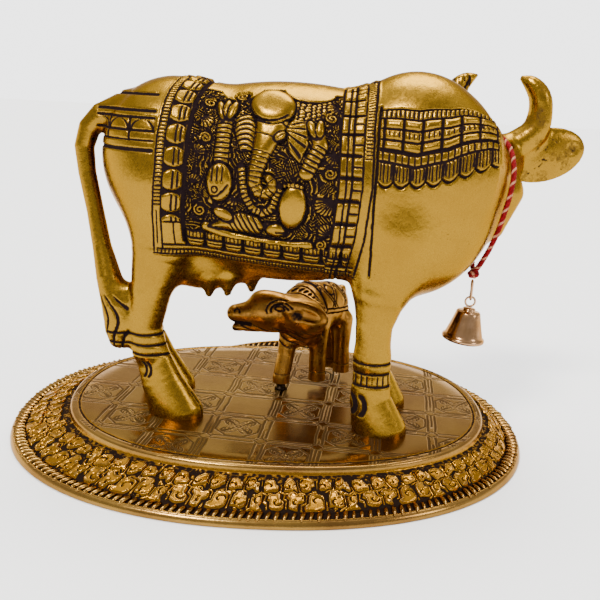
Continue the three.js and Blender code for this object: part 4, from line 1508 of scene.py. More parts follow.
class CalfCarver:
    """Carves the calf's skin: cloth, collar, chest folds and hooves."""

    parts: ClassVar[type[Enum]] = CalfPart

    def __call__(self, points: Array) -> tuple[Array, Array]:
        """Height and patina at each point of the plain skin.

        Args:
            points: points on the skin, in the calf's frame.

        Returns:
            Height along the normal in millimetres, and patina from 0 to 1.
        """
        x, y, z = points.T
        c = Carving(x.copy(), z.copy())
        carve_calf_cloth(c, y, z)
        neck = x + 0.35 * y - 0.25 * (z - 36)
        for fold in (12.0, 14.5):
            c.groove(neck - fold, 0.9, 0.5, between(z, 24, 33, 2))
        c.groove(wave(z + 0.5 * y, 3.4), 0.9, 0.45, ledge(x - 14, 1) * between(z, 18, 30, 2))
        c.groove(z - 4.6, 0.8, 0.3, 0.5 * ledge(8 - z, 1))
        self.face(c, points)
        cloud = noise(x / 3.2 + 0.2 * z, y / 3.2 + 0.3 * z, 33)
        return c.height, np.maximum(c.patina, 0.2 * np.clip(2.4 * cloud - 0.8, 0, 1))

    def face(self, c: Carving, points: Array) -> None:
        """Brows, eyelids, nostrils and mouth on the turned head.

        Args:
            c: the carving that they are part of.
            points: points on the skin, in the calf's frame.
        """
        turn = math.radians(CALF_HEAD_TURN)
        ahead = points[:, 0] - CALF_HEAD_AHEAD
        u = math.cos(turn) * ahead + math.sin(turn) * points[:, 1]
        v = math.cos(turn) * points[:, 1] - math.sin(turn) * ahead
        z = points[:, 2]
        side = ledge(np.abs(v) - 3.2, 0.6) * ledge(u, 1)
        for lift, width in ((2.4, 0.95), (3.9, 0.7)):
            brow = np.hypot((u - 7.4) / 1.4, z - 39.2) - lift - 0.6
            c.groove(brow, width, 0.4, side * ledge(z - 39.0 + 0.25 * (u - 7.4), 0.6))
        lid = np.abs(np.hypot((u - 7.6) / 1.75, z - 40.2) - 1.25)
        c.groove(lid, 0.7, 0.35, side)
        nostril = np.abs(np.hypot(u - 27.6, z - 36.8) - 1.2)
        front = ledge(np.abs(v) - 1.4, 0.5) * ledge(z - 36.4, 0.5) * ledge(u - 25, 1)
        c.groove(nostril, 0.8, 0.4, front)
        gap = np.clip(1.5 - np.abs(z - 30.6 - 0.07 * (u - 20)) / 1.1, 0, 1) * ledge(u - 20.5, 1.5)
        c.stain(gap)
        root = np.hypot((u + 0.5) / 1.3, z - 37.4)
        pits = np.clip(2.0 - root / 1.5, 0, 1) * ledge(np.abs(v) - 3.2, 0.6)
        c.stain(0.5 * pits)
        c.height -= 0.5 * np.clip(pits, 0, 1)

    def part(self, points: Array) -> Array:
        """Number of the piece that each place of the skin belongs to."""
        return np.full(len(points), CalfPart.WHOLE.value)

    def fineness(self, points: Array) -> Array:
        """Longest edge wanted at each place of the skin."""
        return np.full(len(points), CALF_EDGE)


# Meshes


def placed(name: str, data: bpy.types.ID) -> Piece:
    """A new object in the scene.

    Args:
        name: its name.
        data: its mesh, its light or its camera.

    Returns:
        The object.
    """
    piece = bpy.data.objects.new(name, data)
    bpy.context.scene.collection.objects.link(piece)
    return piece


def mesh_object(name: str, points: Array, faces: Faces | Array) -> Piece:
    """A mesh object from points in millimetres in the plate's frame.

    Args:
        name: the piece's name.
        points: rows of x, y and z.
        faces: corner numbers of each face.

    Returns:
        The object, linked to the scene.
    """
    mesh = bpy.data.meshes.new(name)
    corners = faces.tolist() if isinstance(faces, np.ndarray) else list(faces)
    mesh.from_pydata((np.asarray(points) * MM).tolist(), [], corners)
    mesh.polygons.foreach_set("use_smooth", [True] * len(mesh.polygons))
    mesh.update()
    log.info("%s: %d points, %d faces", name, len(points), len(corners))
    return placed(name, mesh)


def add_values(piece: Piece, name: str, values: Array) -> None:
    """Stores a value for each point of a mesh under a name that materials read."""
    stored = piece.data.attributes.new(name, "FLOAT", "POINT")
    stored.data.foreach_set("value", values.astype(np.float32))


def dress(piece: Piece, node: str, materials: Sequence[Material]) -> None:
    """Gives a piece its finishes, puts it in place of a solid and lets it ride with the statue.

    Args:
        piece: the finished piece.
        node: name of the solid that it stands for.
        materials: its finishes, in the order of its faces' numbers.
    """
    for material in materials:
        piece.data.materials.append(material)
    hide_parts(node)
    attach(piece, "root")


@dataclass(frozen=True)
class Skin:
    """A settled skin before carving."""

    points: Array
    normals: Array
    faces: Array
    # Painted shade of each point, from crevices and from faces turned down.
    hollow_shade: Array


@dataclass(frozen=True)
class Casting:
    """A cast figure: its form, its carving, where it stands and the lattice that draws its skin."""

    name: str
    node: str
    form: Form
    carver: CowCarver | CalfCarver
    place: Place
    low: Triple
    high: Triple
    cell: float
    sole: float

    def skin(self) -> Skin:
        """The plain skin, with edges as short as its carving wants them.

        Returns:
            The skin, ready to be carved.
        """
        points, faces = lattice_skin(self.form, self.low, self.high, self.cell)
        for _ in range(3):
            points, faces = split_long_edges(points, faces, self.carver.fineness)
            points = settle(self.form, points, 1)
        points = settle(self.form, points, 1)
        normals = point_normals(points, faces)
        return Skin(points, normals, faces, crevice_shade(self.form, points, normals))

    def make(self, material: Material) -> None:
        """Builds the figure's carved skin and puts it in place of its solid.

        Args:
            material: its finish.
        """
        skin = self.skin()
        height, patina = self.carver(skin.points)
        points = skin.points + skin.normals * height[:, None]
        points[:, 2] = np.maximum(points[:, 2], self.sole)
        points = self.place.carry(points)
        normals = point_normals(points, skin.faces)
        owner = self.carver.part(skin.points[skin.faces].mean(axis=1))
        for part in self.carver.parts:
            used, corners = np.unique(skin.faces[owner == part.value], return_inverse=True)
            name = f"{self.name}_{part.name.lower()}"
            piece = mesh_object(name, points[used], corners.reshape(-1, 3))
            piece.data.normals_split_custom_set_from_vertices(normals[used].tolist())
            add_values(piece, "patina", patina[used])
            # The stored shade lets the gold finish paint shade and a reddish reflection in crevices and
            # under the body.
            add_values(piece, "crevice_shade", skin.hollow_shade[used])
            dress(piece, self.node, [material])


# Oval plate


def oval_reach(angle: Array, half_long: float, half_wide: float, squareness: float) -> Array:
    """Distance from the middle of a squarish oval to its edge.

    Args:
        angle: direction from the middle.
        half_long: half its length.
        half_wide: half its width.
        squareness: 2 for an ellipse, more for squarer sides.

    Returns:
        The distance for each angle.
    """
    ahead = np.abs(np.cos(angle) / half_long) ** squareness
    aside = np.abs(np.sin(angle) / half_wide) ** squareness
    return (ahead + aside) ** (-1 / squareness)


class Flange:
    """Places on the plate between the floor's edge and the rim, by angle and share of the way."""

    def __init__(self, sizes: PlateSizes, count: int) -> None:
        """Lays out the two edges of the flange at a number of even angles.

        Args:
            sizes: the plate's sizes.
            count: how many angles there are.
        """
        self.sizes = sizes
        self.angle = full_turn(count)
        s = sizes
        floor = oval_reach(self.angle, s.floor_length / 2, s.floor_width / 2, s.floor_squareness)
        rim = oval_reach(self.angle, s.length / 2, s.width / 2, s.squareness)
        ray = np.stack([np.cos(self.angle), np.sin(self.angle)], axis=1)
        self.floor = floor[:, None] * ray + [sizes.floor_ahead, 0]
        self.rim = rim[:, None] * ray
        self.across = np.linalg.norm(self.rim - self.floor, axis=1)

    def ring(self, out: Array | float, height: Array | float) -> Array:
        """A ring of points.

        Args:
            out: millimetres out from the floor's edge.
            height: height over the underside.

        Returns:
            One point for each angle.
        """
        share = np.broadcast_to(out, self.across.shape) / self.across
        flat = self.floor + share[:, None] * (self.rim - self.floor)
        s = self.sizes
        off = (flat[:, 0] - s.bent_middle) / (s.bent_width / 2)
        bend = np.maximum(1 - off**2, 0) ** 2 * (flat[:, 1] > 0)
        tall = np.broadcast_to(height, self.across.shape)
        lift = np.where(tall > 0.01, s.bent_rise * bend * np.clip(share, 0, 1) ** 2, 0)
        return np.concatenate([flat, (tall + lift)[:, None]], axis=1)

    def arc(self) -> tuple[Array, float]:
        """Distance along the middle of the flange to each angle, and all the way round.

        Returns:
            The distances, and the whole length.
        """
        middle = (self.floor + self.rim) / 2
        steps = np.linalg.norm(np.roll(middle, -1, 0) - middle, axis=1)
        return np.concatenate([[0], np.cumsum(steps)[:-1]]), steps.sum()


@dataclass(frozen=True)
class Pad:
    """One flat curled leaf of the scroll: a round head with a tail that bends away."""

    along: float
    out: float
    size: float
    tilt: float
    hand: int

    def place(self, at: Array, out: Array) -> tuple[Array, Array]:
        """Flat coordinates about the pad's head, in pad sizes.

        Args:
            at: distance along the repeat.
            out: distance out across the band.

        Returns:
            The two coordinates.
        """
        c, s = cos_sin(self.tilt)
        ahead = (at - self.along + SCROLL_REPEAT / 2) % SCROLL_REPEAT - SCROLL_REPEAT / 2
        across = out - self.out
        return (c * ahead + s * across) / self.size, (c * across - s * ahead) / self.size * self.hand

    def inside(self, u: Array, v: Array) -> Array:
        """Distance inside the pad's edge, negative outside."""
        gap, run = from_line([(-0.1, -0.25), (0.5, -0.4), (1.05, -0.15), (1.5, 0.4)], u, v)
        return np.maximum(1 - np.hypot(u + 0.1, v), 0.75 - 0.25 * run - gap) * self.size

    def curl(self, u: Array, v: Array) -> Array:
        """Distance from the line that curls into the pad's head.

        Args:
            u: first flat coordinate, in pad sizes.
            v: second flat coordinate, in pad sizes.

        Returns:
            The distance at each place.
        """
        turn = (np.arctan2(v, u + 0.1) / (2 * np.pi) + 0.15) % 1
        spiral = np.abs(np.hypot(u + 0.1, v) - 0.1 - 0.75 * turn)
        return np.where(turn < 0.8, spiral, 1.0) * self.size


SCROLL_REACH = 15.0
SCROLL_REPEAT = 35.0
PITCH_OF_PADS = 7.0
SCROLL_REPEATS = 17
STEM = [(14.5, 14.6), (15.5, 10.5), (18.5, 6.5), (20.0, 2.0), (19.5, -1.0)]
HEAD_TILTS = (200, 160, 235, 120, 180)
FOOT_TILTS = (20, -35, 50, -10, 30)


def scroll_pads() -> list[Pad]:
    """The pads of one repeat of the scroll, in two staggered rows.

    Returns:
        The pads, in their order along the band.
    """
    pads = []
    for k, (head, foot) in enumerate(zip(HEAD_TILTS, FOOT_TILTS)):
        hand = 1 if k % 2 else -1
        at = PITCH_OF_PADS * k
        pads.append(Pad(at + 0.8, 11.3 + 0.3 * hand, 3.8, head, hand))
        pads.append(Pad(at + 4.2, 4.1 + 0.3 * hand, 3.6, foot, -hand))
    return pads


def scroll(s: Array, r: Array, repeat: float, wide: Array) -> tuple[Array, Array]:
    """The scroll of flat curled pads on the flange, with a thin ridge in the grooves between them.

    Args:
        s: distance along the band.
        r: distance out across it.
        repeat: length of one repeat.
        wide: the band's width there.

    Returns:
        Height of the carving, and its patina, with a faint value on the pads' flats that paints an
        orange reflection.
    """
    out = r / wide * SCROLL_REACH
    at = (s % repeat) / repeat * SCROLL_REPEAT
    bent = at + 1.2 * noise(s / 7, out / 6, 41) - 0.6
    across = out + 1.0 * noise(s / 7, out / 6, 43) - 0.5
    stem, run = from_line(STEM, bent, across)
    best = 1.25 * np.sin(np.pi * np.clip(run, 0.02, 0.98)) - stem
    second = np.full(len(s), -9.0)
    curl = np.full(len(s), 9.0)
    for pad in scroll_pads():
        u, v = pad.place(bent, across)
        inside = pad.inside(u, v)
        wins = inside > best
        second = np.where(wins, best, np.maximum(second, inside))
        best = np.where(wins, inside, best)
        curl = np.where(wins, pad.curl(u, v), curl)
    shared = (best - second) / 2
    free = np.minimum(best - 0.3, shared - 0.75)
    flat = ledge(free, 0.3)
    rim = 0.3 * np.clip(1.3 - np.abs(free - 0.35) / 0.28, 0, 1)
    cut = np.clip(1.5 - curl / 0.3, 0, 1) * ledge(free - 0.3, 0.2)
    seam = np.clip(1.5 - np.abs(shared) / 0.2, 0, 1) * ledge(best + 0.7, 0.3) * (1 - flat)
    seam *= ledge(noise(s / 3, out / 3, 47) - 0.3, 0.2)
    tall = flat * (0.95 + rim) - 0.6 * cut + 0.75 * seam
    edge = between(out, 0.3, SCROLL_REACH - 0.1, 0.4)
    # Painted reflection: a faint patina value on the pads' flats, which the plate's finish turns orange.
    amber_reflection = 0.1 * ledge(free - 0.5, 0.3)
    dark = np.maximum(amber_reflection, np.maximum(1 - np.maximum(flat, seam), cut))
    return tall * edge, 1 - (1 - dark) * edge


@dataclass(frozen=True)
class Row:
    """One ring of the plate's skin."""

    ring: Array
    patina: Array


# Repeated ridges, by Geometry Nodes


class NodeBook:
    """Short calls for adding and linking the nodes of one tree."""

    def __init__(self, tree: bpy.types.NodeTree) -> None:
        """Starts on one tree."""
        self.tree = tree

    def add(self, kind: str, inputs: dict | None = None, **settings: object) -> bpy.types.Node:
        """Adds a node.

        Args:
            kind: the node's type name.
            inputs: socket name or number to a value, or to an output socket to link from.
            settings: the node's own properties.

        Returns:
            The node.
        """
        node = self.tree.nodes.new(kind)
        for key, value in settings.items():
            setattr(node, key, value)
        for key, value in (inputs or {}).items():
            socket = node.inputs[key]
            if isinstance(value, Socket):
                self.tree.links.new(value, socket)
            else:
                socket.default_value = value
        return node

    def math(self, operation: str, a: object, b: object = 0.0) -> Socket:
        """A Math node's result."""
        return self.add("ShaderNodeMath", {0: a, 1: b}, operation=operation).outputs[0]

    def times(self, a: object, b: object) -> Socket:
        """One value times another."""
        return self.math("MULTIPLY", a, b)

    def plus(self, a: object, b: object) -> Socket:
        """One value and another together."""
        return self.math("ADD", a, b)

    def minus(self, a: object, b: object) -> Socket:
        """One value less another."""
        return self.math("SUBTRACT", a, b)

    def most(self, a: object, b: object) -> Socket:
        """The greater of two values."""
        return self.math("MAXIMUM", a, b)

    def size(self, a: object) -> Socket:
        """A value without its sign."""
        return self.math("ABSOLUTE", a)

    def ramp(self, value: object, low: float, high: float, *to: float) -> Socket:
        """Maps a range of a value onto another, clamped.

        Args:
            value: what is mapped.
            low: start of its range.
            high: end of its range.
            to: start and end of the new range, 0 and 1 if left out.

        Returns:
            The mapped value's socket.
        """
        new_low, new_high = to or (0.0, 1.0)
        inputs = {0: value, 1: low, 2: high, 3: new_low, 4: new_high}
        return self.add("ShaderNodeMapRange", inputs).outputs[0]


RIDGES = 206
RIDGE_SIZES = {
    "Length": 6.3 * MM,
    "Thickness": 2.0 * MM,
    "Height": 2.5 * MM,
    "Slant": -0.32,
    "Unevenness": 0.14,
}


def rope_group(material: Material) -> bpy.types.GeometryNodeTree:
    """A group that sets slanted rounded ridges along a closed line.

    Args:
        material: the ridges' finish.

    Returns:
        The Geometry Nodes tree, with the ridges' count and sizes as named inputs.
    """
    tree = bpy.data.node_groups.new("rope_ridges", "GeometryNodeTree")
    face = tree.interface
    face.new_socket("Geometry", in_out="INPUT", socket_type="NodeSocketGeometry")
    face.new_socket("Geometry", in_out="OUTPUT", socket_type="NodeSocketGeometry")
    face.new_socket("Count", in_out="INPUT", socket_type="NodeSocketInt").default_value = RIDGES
    for name, value in RIDGE_SIZES.items():
        face.new_socket(name, in_out="INPUT", socket_type="NodeSocketFloat").default_value = value
    book = NodeBook(tree)
    given = book.add("NodeGroupInput").outputs
    line = book.add("GeometryNodeMeshToCurve", {"Mesh": given["Geometry"]}).outputs[0]
    spaced = {"Curve": line, "Count": given["Count"]}
    spots = book.add("GeometryNodeCurveToPoints", spaced, mode="COUNT").outputs
    ball = {"Segments": 12, "Rings": 7, "Radius": 0.5}
    bead = book.add("GeometryNodeMeshUVSphere", ball).outputs[0]
    sizes = {0: given["Thickness"], 1: given["Length"], 2: given["Height"]}
    size = book.add("ShaderNodeCombineXYZ", sizes).outputs[0]
    ridge = book.add("GeometryNodeTransform", {"Geometry": bead, "Scale": size}).outputs[0]
    lean = book.add("ShaderNodeCombineXYZ", {2: given["Slant"]}).outputs[0]
    slanted = book.add("GeometryNodeTransform", {"Geometry": ridge, "Rotation": lean}).outputs[0]
    ahead = {"Vector": spots["Tangent"]}
    aim = book.add("FunctionNodeAlignRotationToVector", ahead, axis="X", pivot_axis="Z")
    low = book.minus(1.0, given["Unevenness"])
    high = book.plus(1.0, given["Unevenness"])
    vary = book.add("FunctionNodeRandomValue", {2: low, 3: high, "Seed": 7}, data_type="FLOAT")
    spread = {"Points": spots["Points"], "Instance": slanted}
    spread |= {"Rotation": aim.outputs[0], "Scale": vary.outputs[1]}
    ridges = book.add("GeometryNodeInstanceOnPoints", spread).outputs[0]
    real = book.add("GeometryNodeRealizeInstances", {"Geometry": ridges}).outputs[0]
    smooth = book.add("GeometryNodeSetShadeSmooth", {"Geometry": real}).outputs[0]
    coat = {"Geometry": smooth, "Material": material}
    finished = book.add("GeometryNodeSetMaterial", coat).outputs[0]
    book.add("NodeGroupOutput", {"Geometry": finished})
    return tree


# The plate's pieces

BAND_START = 2.6
BAND_RELIEF = 1.05
BAND_ROWS = 58
SKIN_STEPS = 1400
BAND_STEPS = 2800
ROPE_STEPS = 360
ROUND_EDGE = (0, 18, 36, 54, 72, 90)
FLOOR_GROOVE = ((-5.2, 0), (-4.7, 0.25), (-4.2, 0.35), (-3.7, 0.25), (-3.2, 0), (-2.4, 0.0))
STEP_FOOT = ((0.6, 0.0), (1.0, 0.3), (1.4, 0.45), (1.8, 0.5), (2.2, 0.45), (2.6, 0.4))
LIP = ((1.9, -0.9), (1.2, -0.6), (0.65, -0.1), (0.25, 0.7), (0.0, 1.7))


def ring_faces(count: int, rows: int, first: int = 0) -> Array:
    """Four-sided faces between neighbouring closed rings of points.

    Args:
        count: points in a ring.
        rows: how many rings there are.
        first: number of the first ring's first point.

    Returns:
        Corner numbers of each face.
    """
    i = np.arange(count)
    j = (i + 1) % count
    faces = []
    for row in range(rows - 1):
        a, b = first + row * count, first + (row + 1) * count
        faces.append(np.stack([a + i, b + i, b + j, a + j], axis=1))
    return np.concatenate(faces)


@dataclass(frozen=True)
class OvalPlate(PlateSizes):
    """The oval plate: its skin with floor, step and lip, its scroll band and its rope ring."""

    def band_end(self, flange: Flange) -> Array:
        """Millimetres out from the floor's edge to the end of the scroll band."""
        return flange.across - self.lip_width - self.rope_width - 0.2

    def band_height(self, share: float) -> float:
        """Height of the scroll band's ground, by the share of the way out across it."""
        foot, top = self.floor_height - self.floor_step - 0.5, self.rim_height + 0.9
        return foot + share * (top - foot) + 0.7 * math.sin(math.pi * share)

    def band_rows(self, flange: Flange) -> list[Row]:
        """Rings of the carved scroll band, which dips under the plate's skin at both edges.

        Args:
            flange: where the band lies.

        Returns:
            The rings, from the floor's side outward.
        """
        inner, outer = BAND_START, self.band_end(flange)
        along, total = flange.arc()
        none = np.zeros(len(flange.angle))
        made = [Row(flange.ring(inner - 0.5, self.band_height(0) - 0.6), none + 1)]
        for share in np.linspace(0, 1, BAND_ROWS):
            reach = share * (outer - inner)
            tall, dark = scroll(along, reach, total / SCROLL_REPEATS, outer - inner)
            height = self.band_height(share) + BAND_RELIEF * tall
            made.append(Row(flange.ring(inner + reach, height), dark))
        made.append(Row(flange.ring(outer + 0.5, self.band_height(1) - 0.8), none + 1))
        return made

    def skin_rows(self, flange: Flange) -> list[Row]:
        """The skin's rings from the floor's edge outward and round to the underside.

        Args:
            flange: where the skin lies.

        Returns:
            The rings, in order.
        """
        top, step_foot = self.floor_height, self.floor_height - self.floor_step
        rows: list[Row] = []
        none = np.zeros(len(flange.angle))
        along, _ = flange.arc()

        def add(out: Array | float, height: Array | float, patina: Array | float = 0.0) -> None:
            """Adds one ring."""
            rows.append(Row(flange.ring(out, height), none + patina))

        for out in (-60.0, -30.0, -12.0):
            add(out, top)
        for out, dip in FLOOR_GROOVE:
            add(out, top - dip, dip * 2.4)
        for turn in np.radians(ROUND_EDGE):
            add(-self.edge_round * (1 - math.sin(turn)), top - self.edge_round * (1 - math.cos(turn)))
        add(0.25, step_foot + 1.0, 0.1)
        for out, drop in STEP_FOOT:
            rough = noise(along / 0.9, none + 1.3 * out, 53)
            add(out, step_foot - drop + 0.35 * rough, 1.05 - 0.65 * rough)

        inner, outer = BAND_START, self.band_end(flange)
        for share in (0.1, 0.3, 0.5, 0.7, 0.9, 1.0):
            add(inner + share * (outer - inner), self.band_height(share) - 0.45, 1.0)
        rope_in = flange.across - self.lip_width - self.rope_width
        add(rope_in, self.rim_height + 0.3, 1.0)
        for share in (0.25, 0.5, 0.75):
            add(rope_in + share * self.rope_width, self.rim_height + 0.3 + 0.55 * share, 0.95)

        rim = flange.across
        add(rim - self.lip_width + 0.1, self.rim_height + 0.7, 0.95)
        add(rim - self.lip_width + 0.4, self.rim_height + 0.98, 0.3)
        add(rim - self.lip_width + 0.8, self.rim_height + 1.05)
        for back, drop in LIP:
            add(rim - back, self.rim_height - drop)
        add(rim, 0.5)
        add(rim - 0.4, 0.0)
        add(rim - 30.0, 0.0)
        return rows

    def make_skin(self, material: Material) -> None:
        """Builds the closed skin, and marks its floor for the engraving.

        Args:
            material: the plate's finish.
        """
        flange = Flange(self, SKIN_STEPS)
        rows = self.skin_rows(flange)
        middle = self.floor_ahead
        poles = [[middle, 0, self.floor_height], [middle, 0, 0]]
        points = np.concatenate([poles, *[row.ring for row in rows]])
        patina = np.concatenate([[0, 0], *[row.patina for row in rows]])
        i = np.arange(SKIN_STEPS)
        j = (i + 1) % SKIN_STEPS
        last = 2 + (len(rows) - 1) * SKIN_STEPS
        faces: Faces = np.stack([i * 0, 2 + i, 2 + j], axis=1).tolist()
        faces += ring_faces(SKIN_STEPS, len(rows), 2).tolist()
        faces += np.stack([i * 0 + 1, last + j, last + i], axis=1).tolist()
        plate = mesh_object("plate", points, faces)
        add_values(plate, "patina", patina)
        add_values(plate, "inner", (np.abs(points[:, 2] - self.floor_height) < 0.01) * 1.0)
        dress(plate, "oval_plate", [material])

    def make_band(self, material: Material) -> None:
        """Builds the scroll band in two halves.

        Args:
            material: the plate's finish.
        """
        rows = self.band_rows(Flange(self, BAND_STEPS))
        points = np.concatenate([row.ring for row in rows])
        patina = np.concatenate([row.patina for row in rows])
        faces = ring_faces(BAND_STEPS, len(rows))
        normals = point_normals(points, np.concatenate([faces[:, :3], faces[:, [0, 2, 3]]]))
        front = points[faces].mean(axis=1)[:, 1] < 0
        for name, owner in (("scroll_band_front", front), ("scroll_band_back", ~front)):
            used, corners = np.unique(faces[owner], return_inverse=True)
            half = mesh_object(name, points[used], corners.reshape(-1, 4))
            half.data.normals_split_custom_set_from_vertices(normals[used].tolist())
            add_values(half, "patina", patina[used])
            dress(half, "oval_plate", [material])

    def make_rope(self, material: Material) -> None:
        """Builds the rope-like ring of ridges inside the lip.

        Args:
            material: the plate's finish.
        """
        flange = Flange(self, ROPE_STEPS)
        out = flange.across - self.lip_width - 0.4 * self.rope_width
        ring = flange.ring(out, self.rim_height + 0.95)
        line = bpy.data.meshes.new("rope_line")
        edges = [(i, (i + 1) % ROPE_STEPS) for i in range(ROPE_STEPS)]
        line.from_pydata((ring * MM).tolist(), edges, [])
        guide = placed("rope_line", line)
        guide.modifiers.new("ridges", "NODES").node_group = rope_group(material)
        drawn = guide.evaluated_get(bpy.context.evaluated_depsgraph_get())
        mesh = bpy.data.meshes.new_from_object(drawn)
        bpy.data.objects.remove(guide)
        rope = placed("rope_ring", mesh)
        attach(rope, "root")
        log.info("rope_ring: %d faces", len(mesh.polygons))

    def make(self, material: Material) -> None:
        """Builds every piece of the plate in one finish.

        Args:
            material: the plate's finish.
        """
        self.make_skin(material)
        self.make_band(material)
        self.make_rope(material)


# Thread, knot, hook, ring, bell and nut

THREAD_ROUTE = [
    (91, -3.9, 76.5),
    (93.6, -6, 83.6),
    (95.7, -7.3, 91),
    (97.3, -7.7, 98.7),
    (98.7, -7.3, 106.1),
    (99.6, -5.3, 112.7),
    (99.5, -1.4, 118.5),
    (98.6, 3.9, 123.4),
    (96.1, 9.9, 127.3),
    (92.3, 15.2, 129.9),
    (87.3, 20, 130),
    (82.6, 24.1, 127.8),
    (78.6, 27.3, 123.1),
    (76.5, 29.6, 117),
    (77.1, 29.4, 109.8),
    (78.6, 27.6, 102.7),
    (80.9, 24.5, 96.1),
    (83.6, 20.5, 89.7),
    (86.1, 15.9, 83.3),
    (88, 10.7, 77.1),
]
KNOT_PLACE = (88.6, 1.5, 69.6)
KNOT_TURNS = ((15, 0), (70, 40), (115, -35))


def frames_along(ahead: Array, hint: Triple) -> list[tuple[Array, Array]]:
    """Two directions across a path at each point, carried along it without a twist.

    Args:
        ahead: direction of the path at each point, of any length.
        hint: a direction that the path's start doesn't have.

    Returns:
        The two directions at each point.
    """
    ahead = ahead / np.linalg.norm(ahead, axis=1)[:, None]
    across = np.cross(ahead[0], hint)
    frames = []
    for tangent in ahead:
        across = across - tangent * (across @ tangent)
        across /= np.linalg.norm(across)
        frames.append((across, np.cross(tangent, across)))
    return frames


def tube(path: Array, radius: float, sides: int, closed: bool = False) -> Net:
    """A round tube along a path, with its ends capped unless it closes on itself.

    Args:
        path: points along its middle.
        radius: its radius.
        sides: corners of its section.
        closed: whether the last point runs on into the first.

    Returns:
        Points and faces.
    """
    ahead = np.roll(path, -1, 0) - np.roll(path, 1, 0) if closed else np.gradient(path, axis=0)
    turns = 2 * np.pi * np.arange(sides) / sides
    c, s = np.cos(turns)[:, None], np.sin(turns)[:, None]
    frames = frames_along(ahead, (0.3, 0.2, 0.93))
    rings = [p + radius * (c * u + s * v) for p, (u, v) in zip(path, frames)]
    points = np.concatenate(rings)
    faces: Faces = []
    for i in range(len(path) if closed else len(path) - 1):
        a, b = i * sides, ((i + 1) % len(path)) * sides
        faces += [[a + k, a + (k + 1) % sides, b + (k + 1) % sides, b + k] for k in range(sides)]
    if not closed:
        faces += [list(range(sides))[::-1], [len(points) - sides + k for k in range(sides)]]
    return points, faces


def twisted(path: Array, strands: int, spread: float, radius: float, pitch: float) -> list[Net]:
    """Strands wound round a path.

    Args:
        path: points along the middle of the thread.
        strands: how many there are.
        spread: distance of each from the middle.
        radius: radius of each.
        pitch: length of one whole turn.

    Returns:
        Points and faces of each strand.
    """
    along = np.concatenate([[0], np.cumsum(np.linalg.norm(np.diff(path, axis=0), axis=1))])
    frames = frames_along(np.gradient(path, axis=0), (0.0, 0.0, 1.0))
    made = []
    for strand in range(strands):
        turn = 2 * np.pi * (along / pitch + strand / strands)
        places = zip(path, turn, frames)
        centre = [p + spread * (math.cos(a) * u + math.sin(a) * v) for p, a, (u, v) in places]
        made.append(tube(np.array(centre), radius, 8))
    return made


def joined(parts: Sequence[Net]) -> tuple[Array, Faces, list[int]]:
    """Meshes put together.

    Args:
        parts: points and faces of each.

    Returns:
        All points, all faces, and the number of the part that each face came from.
    """
    points, faces, owner = [], [], []
    start = 0
    for number, (place, corners) in enumerate(parts):
        points.append(place)
        faces += [[start + k for k in corner] for corner in corners]
        owner += [number] * len(corners)
        start += len(place)
    return np.concatenate(points), faces, owner


def turned(points: Array, degrees: float, axis: str) -> Array:
    """Points turned about a named axis."""
    return points @ np.array(Matrix.Rotation(math.radians(degrees), 3, axis)).T


def lathe(profile: Line, sides: int) -> Net:
    """A turned solid.

    Args:
        profile: (out, up) points that start and end on the axis.
        sides: corners of its section across the axis.

    Returns:
        Points and faces.
    """
    inner = profile[1:-1]
    turns = 2 * np.pi * np.arange(sides) / sides
    c, s = np.cos(turns), np.sin(turns)
    rings = [np.stack([out * c, out * s, 0 * turns + up], axis=1) for out, up in inner]
    points = np.concatenate([*rings, [[0, 0, profile[0][1]], [0, 0, profile[-1][1]]]])
    first, last = len(points) - 2, len(points) - 1
    faces = []
    for k in range(sides):
        n = (k + 1) % sides
        faces.append([first, k, n])
        for row in range(len(inner) - 1):
            a, b = row * sides, (row + 1) * sides
            faces.append([a + k, b + k, b + n, a + n])
        end = (len(inner) - 1) * sides
        faces.append([last, end + n, end + k])
    return points, faces


